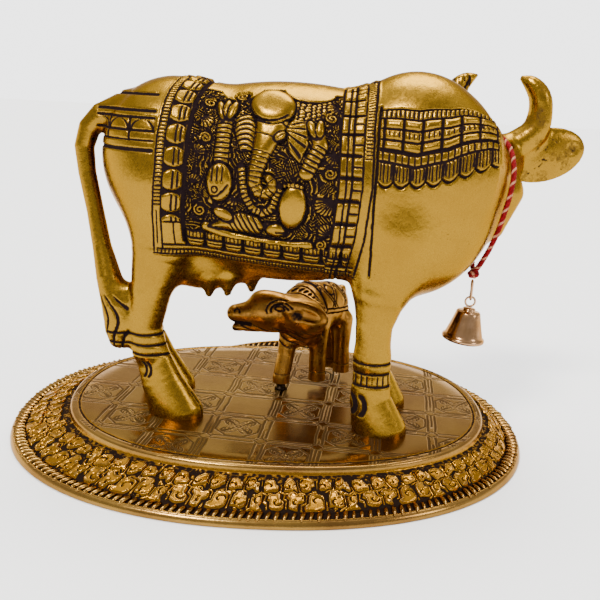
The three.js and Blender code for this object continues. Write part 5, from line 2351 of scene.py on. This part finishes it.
@dataclass(frozen=True)
class NeckBell:
    """The thread round the neck and the bell that hangs on it, with sizes in millimetres."""

    strands: int = 4
    strand_spread: float = 0.62
    strand_radius: float = 0.56
    strand_pitch: float = 5.6
    knot: float = 5.6
    knot_turn: float = 1.7
    knot_thread: float = 0.95
    hook_wire: float = 0.9
    hook_length: float = 9.6
    hook_width: float = 2.8
    ring_wire: float = 0.9
    ring: float = 5.2
    mouth: float = 19.0
    shoulder: float = 10.4
    height: float = 13.6
    wall: float = 0.8
    lip: float = 1.1
    cap: float = 5.6
    cap_height: float = 1.5
    tilt: float = 6.0

    def knot_ends(self) -> tuple[Array, Array]:
        """Where the thread's two ends come out of the knot.

        Returns:
            The two places, in the cow's frame.
        """
        knot = np.asarray(KNOT_PLACE)
        ends = []
        for point in (THREAD_ROUTE[0], THREAD_ROUTE[-1]):
            way = np.asarray(point) - knot
            ends.append(knot + way / np.linalg.norm(way) * (self.knot / 2 + TOUCH))
        return ends[0], ends[1]

    def places(self) -> dict[str, Array]:
        """Places of the knot, hook, ring and bell in the plate's frame.

        Returns:
            The place for each name, in millimetres.
        """
        knot = COW_PLACE.carry(np.array([KNOT_PLACE]))[0]
        hook_top = knot[2] - self.knot * 0.4 - TOUCH
        ring_top = hook_top - self.hook_length + self.hook_wire + TOUCH + self.ring_wire
        return {
            "knot": knot,
            "hook": np.array([knot[0], knot[1], hook_top - self.hook_length / 2]),
            "ring": np.array([knot[0], knot[1], ring_top - self.ring / 2]),
            "bell": np.array([knot[0], knot[1], ring_top - self.ring - TOUCH]),
        }

    def make_thread(self, materials: Sequence[Material]) -> tuple[Piece, Array]:
        """Builds the twisted thread.

        Args:
            materials: finish of each strand.

        Returns:
            The piece, and the path that it follows in metres.
        """
        first, last = self.knot_ends()
        route = COW_PLACE.carry(smooth_route(np.array([first, *THREAD_ROUTE, last]), 14))
        strands = twisted(route, self.strands, self.strand_spread, self.strand_radius, self.strand_pitch)
        points, faces, owner = joined(strands)
        thread = mesh_object("thread", points, faces)
        dress(thread, "neck_thread", materials)
        thread.data.polygons.foreach_set("material_index", owner)
        return thread, route * MM

    def make_knot(self, materials: Sequence[Material], at: Array) -> Piece:
        """Builds the thread's knot: three crossed turns pulled tight.

        Args:
            materials: finish of each turn.
            at: its middle.

        Returns:
            The piece.
        """
        turns = full_turn(28)
        out, up = self.knot_turn, 0.3
        loops = []
        for number, (tilt, lean) in enumerate(KNOT_TURNS):
            loop = np.stack([out * np.cos(turns), out * np.sin(turns), up * np.sin(2 * turns)], axis=1)
            loop = turned(turned(loop, tilt, "X"), lean + 30 * number, "Z") * [1.0, 1.0, 0.8]
            loops.append(tube(loop + at, self.knot_thread, 8, closed=True))
        points, faces, owner = joined(loops)
        knot = mesh_object("knot", points, faces)
        dress(knot, "thread_knot", materials)
        knot.data.polygons.foreach_set("material_index", owner)
        return knot

    def make_hook(self, material: Material, at: Array) -> Piece:
        """Builds the doubled wire between the knot and the ring.

        Args:
            material: its finish.
            at: its middle.

        Returns:
            The piece.
        """
        turns = full_turn(48)
        radius = (self.hook_width - self.hook_wire) / 2
        straight = (self.hook_length - self.hook_width) / 2
        up = radius * np.sin(turns) + straight * np.sign(np.sin(turns))
        line = np.stack([0 * turns, radius * np.cos(turns), up], axis=1)
        line[:, 1] *= 1 - 0.45 * np.exp(-((up / 1.6) ** 2))
        hook = mesh_object("hook", *tube(line + at, self.hook_wire / 2, 10, closed=True))
        dress(hook, "wire_hook", [material])
        return hook

    def make_ring(self, material: Material, at: Array) -> Piece:
        """Builds the round loop over the bell's cap.

        Args:
            material: its finish.
            at: its middle.

        Returns:
            The piece.
        """
        turns = full_turn(40)
        radius = (self.ring - self.ring_wire) / 2
        line = np.stack([radius * np.cos(turns), 0 * turns, radius * np.sin(turns)], axis=1)
        ring = mesh_object("ring", *tube(line + at, self.ring_wire / 2, 10, closed=True))
        dress(ring, "bell_ring", [material])
        return ring

    def bell_profile(self) -> list[Spot]:
        """Section of the hollow bell from its cap's top round the lip and up inside.

        Returns:
            (out, up) points that start and end on the axis.
        """
        mouth, shoulder, cap = self.mouth / 2, self.shoulder / 2, self.cap / 2
        low, top = -self.cap_height - self.height, -self.cap_height
        foot = low + 2.4 * self.lip

        def side(share: float, inward: float = 0.0) -> Spot:
            """A point of the flaring side, by the share of the way down.

            Args:
                share: from 0 at the shoulder to 1 at the foot.
                inward: millimetres in from the outside.

            Returns:
                The point.
            """
            swell = share + 0.12 * share * (share - 1)
            out = shoulder + (mouth - self.lip - shoulder) * swell
            return out - inward, top + share * (foot - top)

        outer = [(0, 0), (cap - 0.5, 0), (cap - 0.1, -0.2), (cap, -0.6), (cap, top + 0.1)]
        outer += [(shoulder - 0.7, top), (shoulder - 0.15, top - 0.1)]
        outer += [side(share) for share in (0.05, 0.2, 0.36, 0.38, 0.4, 0.6, 0.8, 0.93, 1.0)]
        rolled = np.radians([10, 50, 90, 130, 180])
        roll = [(mouth - 0.9 + 0.9 * math.sin(a), low + 1.1 + 1.1 * math.cos(a)) for a in rolled]
        inner = [(mouth - self.lip - self.wall, low + 0.1), side(0.7, self.wall), side(0.3, self.wall)]
        inner += [(shoulder - self.wall, top - self.wall - 0.5), (0, top - self.wall)]
        return [*outer, *roll, *inner]

    def make_bell(self, material: Material, at: Array) -> Piece:
        """Builds the hollow bell with its cap and rolled lip.

        Args:
            material: its finish.
            at: the top of its cap.

        Returns:
            The piece.
        """
        points, faces = lathe(self.bell_profile(), 72)
        points = turned(turned(points, self.tilt, "Y"), COW_PLACE.turn, "Z") + at
        bell = mesh_object("bell_body", points, faces)
        dress(bell, "bell", [material])
        return bell

    def make(self, red: Material, cream: Material, metal: Material) -> None:
        """Args:
            red: the red strands' finish.
            cream: the cream strand's finish.
            metal: finish of the hook, the ring and the bell.
        """
        places = self.places()
        thread, path = self.make_thread([red, red, red, cream])
        hanging = [
            self.make_knot([red, cream, red], places["knot"]),
            self.make_hook(metal, places["hook"]),
            self.make_ring(metal, places["ring"]),
            self.make_bell(metal, places["bell"]),
        ]


@dataclass(frozen=True)
class CalfNut:
    """The dark nut and its washer under the calf's fore hoof, with sizes in millimetres."""

    under: Triple = (18.3, -5.6, 0)
    low: float = -3.9 + 0.05
    nut: float = 2.3
    washer: float = 3.1

    def make(self, material: Material) -> None:
        """Builds the nut and washer as one turned piece.

        Args:
            material: its finish.
        """
        nut, washer, low = self.nut, self.washer, self.low
        profile = [(0, 0.0), (nut - 0.2, 0.0), (nut, -0.2), (nut, low + 1.2)]
        profile += [(washer - 0.2, low + 1.1), (washer, low + 0.7), (washer, low), (0, low)]
        points, faces = lathe(profile, 40)
        piece = mesh_object("nut", CALF_PLACE.carry(points + self.under), faces)
        dress(piece, "calf_nut", [material])


# Finishes


METAL_TINT = (0.88, 0.67, 0.48, 1.0)
PLATE_TINT = (0.92, 0.75, 0.58, 1.0)


class Paint(NodeBook):
    """One Principled material under construction, with its nodes."""

    def __init__(self, name: str, metallic: float, roughness: float) -> None:
        """Starts a material.

        Args:
            name: its name.
            metallic: 1 for a metal, 0 for anything else.
            roughness: from 0 for a mirror to 1 for chalk.
        """
        self.material = bpy.data.materials.new(name)
        self.material.use_nodes = True
        super().__init__(self.material.node_tree)
        self.bsdf = self.tree.nodes["Principled BSDF"]
        self.bsdf.inputs["Metallic"].default_value = metallic
        self.bsdf.inputs["Roughness"].default_value = roughness
        if metallic:
            self.bsdf.inputs["Specular Tint"].default_value = METAL_TINT
        self.place = self.add("ShaderNodeTexCoord").outputs["Object"]

    def noise(self, scale: float, detail: float = 3.0, rough: float = 0.55) -> Socket:
        """Noise from 0 to 1 at a number of bumps per metre."""
        inputs = {"Vector": self.place, "Scale": scale, "Detail": detail, "Roughness": rough}
        return self.add("ShaderNodeTexNoise", inputs).outputs["Fac"]

    def value(self, name: str) -> Socket:
        """A stored value of the mesh."""
        return self.add("ShaderNodeAttribute", attribute_name=name).outputs["Fac"]

    def mix(self, fac: object, a: object, b: object) -> Socket:
        """Mixes two colours.

        Args:
            fac: share of the second colour.
            a: first colour.
            b: second colour.

        Returns:
            The mixed colour's socket.
        """
        node = self.add("ShaderNodeMix", data_type="RGBA")
        for socket, value in ((node.inputs[0], fac), (node.inputs[6], a), (node.inputs[7], b)):
            if isinstance(value, Socket):
                self.tree.links.new(value, socket)
            else:
                socket.default_value = (*value, 1.0) if isinstance(value, tuple) else value
        return node.outputs[2]

    def colour(self, socket: Socket) -> None:
        """Links the base colour."""
        self.tree.links.new(socket, self.bsdf.inputs["Base Color"])

    def roughness(self, socket: Socket) -> None:
        """Links the roughness."""
        self.tree.links.new(socket, self.bsdf.inputs["Roughness"])

    def dull(self, where: Socket) -> None:
        """Takes the metal's shine away where the value is 1.

        Args:
            where: a value from 0 to 1.
        """
        bare = self.minus(1.0, self.times(where, 0.92))
        self.tree.links.new(bare, self.bsdf.inputs["Metallic"])
        self.bsdf.inputs["Specular IOR Level"].default_value = 0.0

    def bump(self, height: Socket, distance: float, strength: float = 1.0) -> None:
        """Adds a bump of a depth in metres, over any bump that is there already.

        Args:
            height: the value that drives it.
            distance: its depth in metres.
            strength: how strongly it shows.
        """
        inputs = {"Height": height, "Distance": distance, "Strength": strength}
        before = self.bsdf.inputs["Normal"]
        if before.is_linked:
            inputs["Normal"] = before.links[0].from_socket
        node = self.add("ShaderNodeBump", inputs)
        self.tree.links.new(node.outputs[0], before)


@dataclass(frozen=True)
class GoldFinish:
    """Antique gold plating: its tones, its patina, its painted shade and its gloss."""

    name: str
    light: Triple
    deep: Triple
    # Colour of the painted shade and floor reflection in crevices and under the body.
    painted_shade_tone: Triple
    patina: Triple
    roughness: float
    patina_spread: float = 0.3

    def make(self) -> Material:
        """The material, darkened where the mesh stores patina, with painted shade and a reddish painted
        floor reflection in its crevices and under it.

        Returns:
            The material.
        """
        paint = Paint(self.name, 1.0, self.roughness)
        height = paint.add("ShaderNodeSeparateXYZ", {0: paint.place}).outputs[2]
        # Painted shade: the stored shade of crevices and undersides, weaker near the floor.
        hollow_shade = paint.times(paint.value("crevice_shade"), paint.ramp(height, 0.016, 0.05, 0.3, 1.0))
        grain = paint.noise(520.0, 5.0, 0.72)
        cloud = paint.noise(45.0, 4.0)
        tone = paint.mix(paint.ramp(cloud, 0.36, 0.66, 0.0, 0.5), self.light, self.deep)
        # Painted shade and painted reflection: a darker reddish tone where the skin is closed in or
        # faces down, spread a little by noise.
        painted_shade_tone = paint.plus(hollow_shade, paint.ramp(paint.noise(70.0, 3.0), 0.3, 0.7, -0.14, 0.14))
        tone = paint.mix(paint.ramp(painted_shade_tone, 0.32, 0.68), tone, self.painted_shade_tone)

        marks = paint.plus(paint.value("patina"), paint.ramp(grain, 0.3, 0.75, -0.2, 0.2))
        marks = paint.ramp(marks, 0.16, 0.16 + self.patina_spread)
        # Real patina in tight hollows, and painted shade there and under the body, turn the colour
        # towards the patina.
        hollow_patina_and_shade = paint.plus(hollow_shade, paint.ramp(grain, 0.3, 0.75, -0.2, 0.2))
        hollow_patina_and_shade = paint.times(paint.ramp(hollow_patina_and_shade, 0.7, 1.0), 0.85)
        speck = paint.ramp(paint.noise(950.0, 3.0, 0.6), 0.655, 0.7)
        # The casting specks gather a little more in shaded crevices.
        where = paint.ramp(paint.plus(paint.noise(55.0, 2.0), paint.times(hollow_shade, 0.35)), 0.56, 0.78)
        speck = paint.times(speck, where)
        dark = paint.most(marks, paint.most(hollow_patina_and_shade, speck))
        fine = paint.ramp(paint.noise(1500.0, 3.0, 0.65), 0.35, 0.62)
        tone = paint.mix(paint.times(fine, 0.42), tone, self.deep)
        paint.colour(paint.mix(dark, tone, self.patina))
        paint.dull(dark)
        rough = paint.ramp(grain, 0.3, 0.75, self.roughness - 0.06, self.roughness + 0.1)
        paint.roughness(paint.plus(rough, paint.times(dark, 0.25)))
        paint.bump(paint.noise(85.0, 2.0), 0.0003)
        paint.bump(paint.noise(260.0, 3.0), 0.0001)
        paint.bump(grain, 0.00006)
        return paint.material


TILE_PITCH = 0.02406
TILE_MIDDLE = (0.0056, -0.00344)
TILE_TURN = 8.73
ENGRAVED_OVER = 0.01405


def from_edge(paint: Paint, value: Socket) -> Socket:
    """Distance of a value from the nearest whole number."""
    return paint.size(paint.minus(value, paint.math("ROUND", value)))


def stroke(paint: Paint, gap: Socket, width: float) -> Socket:
    """1 where a gap is narrower than a width, with a soft edge."""
    return paint.ramp(paint.size(gap), width * 1.4, width * 0.7)


def floor_tiles(paint: Paint) -> tuple[Socket, Socket]:
    """Places on the floor counted in tiles, and the uneven wear of the lines.

    Args:
        paint: the material that gets them.

    Returns:
        The place, a little wobbled, and noise from 0 to 1.
    """
    x, y = TILE_MIDDLE
    mapping = {
        "Vector": paint.place,
        "Location": (-x / TILE_PITCH, -y / TILE_PITCH, 0),
        "Rotation": (0, 0, math.radians(TILE_TURN)),
        "Scale": (1 / TILE_PITCH, 1 / TILE_PITCH, 0.0),
    }
    tile = paint.add("ShaderNodeMapping", mapping, vector_type="POINT").outputs[0]
    drift = {"Vector": tile, "Scale": 2.5, "Detail": 1.0}
    wobble = paint.add("ShaderNodeTexNoise", drift).outputs["Color"]
    slight = {0: wobble, "Scale": 0.05}
    shift = paint.add("ShaderNodeVectorMath", slight, operation="SCALE").outputs[0]
    tile = paint.add("ShaderNodeVectorMath", {0: tile, 1: shift}, operation="ADD").outputs[0]
    patches = {"Vector": tile, "Scale": 1.1, "Detail": 0.0}
    return tile, paint.add("ShaderNodeTexNoise", patches).outputs["Fac"]


def tile_flower(paint: Paint, x: Socket, y: Socket) -> Socket:
    """A flower of four veined petals in an octagon, the figure of every other tile.

    Args:
        paint: the material that gets it.
        x: place along the tiles.
        y: place across them.

    Returns:
        1 in a line and 0 between.
    """
    u = paint.minus(paint.math("FRACT", x), 0.5)
    v = paint.minus(paint.math("FRACT", y), 0.5)
    frame = paint.most(paint.size(u), paint.size(v))
    cut = paint.times(paint.plus(paint.size(u), paint.size(v)), 0.68)
    octagon = stroke(paint, paint.minus(paint.most(frame, cut), 0.385), 0.021)
    out = paint.math("SQRT", paint.plus(paint.times(u, u), paint.times(v, v)))
    turn = paint.math("ARCTAN2", v, u)
    petal = paint.size(paint.math("SINE", paint.times(turn, 2.0)))
    edge = paint.plus(paint.times(petal, 0.25), 0.1)
    leaf = stroke(paint, paint.minus(out, edge), 0.025)
    veins = stroke(paint, paint.minus(petal, 1.0), 0.03)
    slant = paint.minus(out, paint.times(petal, 0.12))
    ribs = stroke(paint, from_edge(paint, paint.times(slant, 13.0)), 0.19)
    inside = paint.ramp(paint.minus(edge, out), 0.0, 0.012)
    inside = paint.times(inside, paint.ramp(out, 0.07, 0.085))
    ribs = paint.times(paint.times(ribs, inside), paint.ramp(petal, 0.55, 0.62))
    eye = stroke(paint, paint.minus(out, 0.045), 0.018)
    flower = paint.most(paint.times(veins, inside), paint.most(ribs, eye))
    return paint.most(paint.most(leaf, flower), octagon)


def engraved_lines(paint: Paint) -> Socket:
    """Engraved tiles on the plate's floor.

    Args:
        paint: the material that gets them.

    Returns:
        1 in a line and 0 between.
    """
    tile, wear = floor_tiles(paint)
    x, y, _ = paint.add("ShaderNodeSeparateXYZ", {0: tile}).outputs
    across, up = from_edge(paint, x), from_edge(paint, y)
    marks = []
    for gap, other in ((across, up), (up, across)):
        pair = stroke(paint, paint.minus(gap, 0.066), 0.024)
        middle = paint.times(stroke(paint, gap, 0.02), paint.ramp(wear, 0.45, 0.52))
        pair = paint.most(pair, middle)
        marks.append(paint.times(pair, paint.ramp(other, 0.1, 0.115)))
    marks.append(stroke(paint, paint.minus(paint.plus(across, up), 0.12), 0.022))
    count = paint.plus(paint.math("FLOOR", x), paint.math("FLOOR", y))
    even = paint.math("GREATER_THAN", paint.size(paint.math("MODULO", count, 2.0)), 0.5)
    marks.append(paint.times(tile_flower(paint, x, y), even))
    result = marks[0]
    for mark in marks[1:]:
        result = paint.most(result, mark)
    height = paint.add("ShaderNodeSeparateXYZ", {0: paint.place}).outputs[2]
    on_floor = paint.math("GREATER_THAN", height, ENGRAVED_OVER)
    return paint.times(paint.times(result, on_floor), paint.value("inner"))


@dataclass(frozen=True)
class PlateFinish:
    """Browner, glossier gold of the plate with its engraved floor, and a painted orange reflection on
    the scroll's leaves.
    """

    light: Triple
    deep: Triple
    # Colour of the painted reflection on the scroll's pads.
    amber_reflection: Triple
    patina: Triple

    def make(self) -> Material:
        """The plate's material.

        Returns:
            The material.
        """
        paint = Paint("plate_gold_finish", 1.0, 0.24)
        paint.bsdf.inputs["Specular Tint"].default_value = PLATE_TINT
        worn = paint.value("patina")
        tone = paint.mix(paint.ramp(paint.noise(26.0, 3.0), 0.38, 0.66), self.light, self.deep)
        # Painted reflection: the faintest patina values, as on the scroll's pad flats, turn the tone
        # orange.
        tone = paint.mix(paint.ramp(worn, 0.02, 0.1), tone, self.amber_reflection)
        lines = engraved_lines(paint)
        grain = paint.noise(520.0, 4.0, 0.7)
        dark = paint.ramp(paint.plus(worn, paint.ramp(grain, 0.3, 0.8, -0.22, 0.22)), 0.3, 0.65)
        dark = paint.most(dark, paint.times(lines, 0.8))
        paint.colour(paint.mix(dark, tone, self.patina))
        paint.dull(dark)
        rough = paint.ramp(grain, 0.25, 0.8, 0.17, 0.28)
        paint.roughness(paint.plus(rough, paint.times(dark, 0.3)))
        paint.bump(paint.noise(60.0, 2.0), 0.00014)
        paint.bump(grain, 0.00004)
        paint.bump(paint.minus(1.0, lines), 0.0003)
        return paint.material


@dataclass(frozen=True)
class CottonFinish:
    """One strand's dyed cotton."""

    name: str
    colour: Triple
    shade: Triple

    def make(self) -> Material:
        """The strand's material.

        Returns:
            The material.
        """
        paint = Paint(self.name, 0.0, 0.85)
        fibre = paint.noise(900.0, 3.0, 0.7)
        paint.colour(paint.mix(paint.ramp(fibre, 0.35, 0.7), self.colour, self.shade))
        paint.bsdf.inputs["Specular IOR Level"].default_value = 0.1
        paint.bump(fibre, 0.00025)
        return paint.material


@dataclass(frozen=True)
class MetalFinish:
    """Small bare-metal pieces."""

    name: str
    colour: Triple
    shade: Triple
    roughness: float

    def make(self) -> Material:
        """The piece's material, brushed and a little stained.

        Returns:
            The material.
        """
        paint = Paint(self.name, 1.0, self.roughness)
        stain = paint.ramp(paint.noise(120.0, 2.0), 0.4, 0.7)
        paint.colour(paint.mix(stain, self.colour, self.shade))
        brushed, rough = paint.noise(500.0, 2.0), self.roughness
        paint.roughness(paint.ramp(brushed, 0.3, 0.7, rough - 0.02, rough + 0.03))
        paint.bump(paint.noise(300.0, 2.0), 0.00002)
        return paint.material


# Studio


@dataclass(frozen=True)
class View:
    """The photograph's camera, looking at a point from a turn, a height angle and a distance."""

    target: Triple = (0.01213, 0.0, 0.06236)
    azimuth: float = -1.88
    elevation: float = 14.99
    roll: float = 3.03
    distance: float = 0.36217
    focal_px: float = 768.76
    picture_px: float = 600.0

    def make(self) -> None:
        """Creates the camera and makes it the scene's."""
        az, el, roll = (math.radians(a) for a in (self.azimuth, self.elevation, self.roll))
        back = Vector((math.sin(az) * math.cos(el), -math.cos(az) * math.cos(el), math.sin(el)))
        right = Vector((math.cos(az), math.sin(az), 0.0))
        up = back.cross(right)
        x = math.cos(roll) * right + math.sin(roll) * up
        y = math.cos(roll) * up - math.sin(roll) * right
        camera = placed("camera", bpy.data.cameras.new("camera"))
        camera.data.sensor_width = 36.0
        camera.data.lens = 36.0 * self.focal_px / self.picture_px
        camera.data.clip_start = 0.01
        turn = Matrix((x, y, back)).transposed().to_4x4()
        camera.matrix_world = Matrix.Translation(Vector(self.target) + back * self.distance) @ turn
        bpy.context.scene.camera = camera


@dataclass(frozen=True)
class Studio:
    """A pale floor, a bright backdrop, a dim room in front of it and three soft lights."""

    room: float = 0.62
    backdrop: float = 3.4
    half_floor: float = 6.0

    def make_floor(self) -> None:
        """Lays a plain floor under the plate."""
        mesh = bpy.data.meshes.new("studio_floor")
        half = self.half_floor
        corners = [(-half, -half, 0), (half, -half, 0), (half, half, 0), (-half, half, 0)]
        mesh.from_pydata(corners, [], [(0, 1, 2, 3)])
        floor = placed("studio_floor", mesh)
        paint = Paint("studio_white", 0.0, 0.9)
        paint.bsdf.inputs["Base Color"].default_value = (0.9, 0.9, 0.9, 1.0)
        mesh.materials.append(paint.material)

    def make_room(self) -> None:
        """Lights the statue from all round, by direction: from the room and the backdrop."""
        world = bpy.data.worlds.new("studio")
        world.use_nodes = True
        book = NodeBook(world.node_tree)
        background = world.node_tree.nodes["Background"]
        sky = book.add("ShaderNodeTexCoord").outputs["Generated"]
        way = book.add("ShaderNodeSeparateXYZ", {0: sky}).outputs
        behind = book.ramp(way[1], -0.35, 0.45)
        above = book.ramp(way[2], 0.45, 0.9)
        front = book.ramp(above, 0.0, 1.0, self.room, self.room * 1.2)
        wall = book.ramp(way[2], 0.14, 0.26, self.backdrop, self.backdrop * 0.28)
        back = book.most(wall, book.times(above, self.backdrop * 0.8))
        both = book.add("ShaderNodeMix", {0: behind, 2: front, 3: back}).outputs[0]
        world.node_tree.links.new(both, background.inputs["Strength"])
        background.inputs["Color"].default_value = (1.0, 1.0, 1.0, 1.0)
        bpy.context.scene.world = world

    def add_sun(self, name: str, place: Triple, spread: float, power: float, colour: Triple) -> None:
        """Adds a soft distant light.

        Args:
            name: the lamp's name.
            place: where it shines from, towards the statue.
            spread: its angle in degrees, larger for softer shadows.
            power: its strength.
            colour: its colour.
        """
        light = bpy.data.lights.new(name, "SUN")
        light.angle = math.radians(spread)
        light.energy = power
        light.color = colour
        lamp = placed(name, light)
        lamp.rotation_euler = (-Vector(place)).to_track_quat("-Z", "Y").to_euler()

    def make(self) -> None:
        """Builds the floor, the room and the lights."""
        self.make_floor()
        self.make_room()
        self.add_sun("key", (-0.45, -0.7, 0.95), 13.0, 3.7, (1.0, 0.96, 0.88))
        self.add_sun("side", (0.9, -0.55, 0.5), 18.0, 0.8, (1.0, 0.96, 0.9))
        self.add_sun("top", (0.1, 0.35, 1.0), 40.0, 4.6, (1.0, 1.0, 1.0))


def main() -> None:
    """Builds every piece and finishes the scene."""
    logging.basicConfig(level=logging.INFO, format="%(message)s")
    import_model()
    View().make()

    red = CottonFinish("red_cotton", (0.22, 0.003, 0.006), (0.07, 0.001, 0.002)).make()
    cream = CottonFinish("cream_cotton", (0.5, 0.27, 0.15), (0.24, 0.02, 0.015)).make()
    bell_metal = MetalFinish("bell_metal_finish", (0.4, 0.23, 0.115), (0.25, 0.125, 0.048), 0.2).make()
    steel = MetalFinish("dark_steel_finish", (0.012, 0.009, 0.007), (0.03, 0.018, 0.01), 0.4).make()
    # Each gold finish has a painted shade tone for its crevices and underside.
    gold = GoldFinish(
        "antique_gold_finish",
        light=(0.264, 0.145, 0.013),
        deep=(0.2, 0.102, 0.009),
        painted_shade_tone=(0.11, 0.027, 0.003),
        patina=(0.012, 0.007, 0.0075),
        roughness=0.26,
    ).make()
    calf_gold = GoldFinish(
        "calf_gold_finish",
        light=(0.25, 0.12, 0.02),
        deep=(0.165, 0.066, 0.012),
        painted_shade_tone=(0.075, 0.019, 0.003),
        patina=(0.012, 0.007, 0.0075),
        roughness=0.3,
    ).make()
    # The plate finish paints an orange reflection on the scroll's pads.
    plate_gold = PlateFinish(
        light=(0.285, 0.158, 0.035),
        deep=(0.18, 0.086, 0.022),
        amber_reflection=(0.3, 0.134, 0.009),
        patina=(0.012, 0.007, 0.005),
    ).make()

    NeckBell().make(red, cream, bell_metal)
    OvalPlate().make(plate_gold)
    Casting(
        name="cow_casting",
        node="cow",
        form=cow_form(),
        carver=CowCarver(),
        place=COW_PLACE,
        low=(-96, -38, -17),
        high=(143, 88, 162),
        cell=1.85,
        sole=-TOUCH,
    ).make(gold)
    Casting(
        name="calf_casting",
        node="calf",
        form=calf_form(),
        carver=CalfCarver(),
        place=CALF_PLACE,
        low=(-32, -42, -8),
        high=(42, 24, 58),
        cell=1.1,
        sole=0.0,
    ).make(calf_gold)
    CalfNut().make(steel)
    Studio().make()


if __name__ == "__main__":
    main()
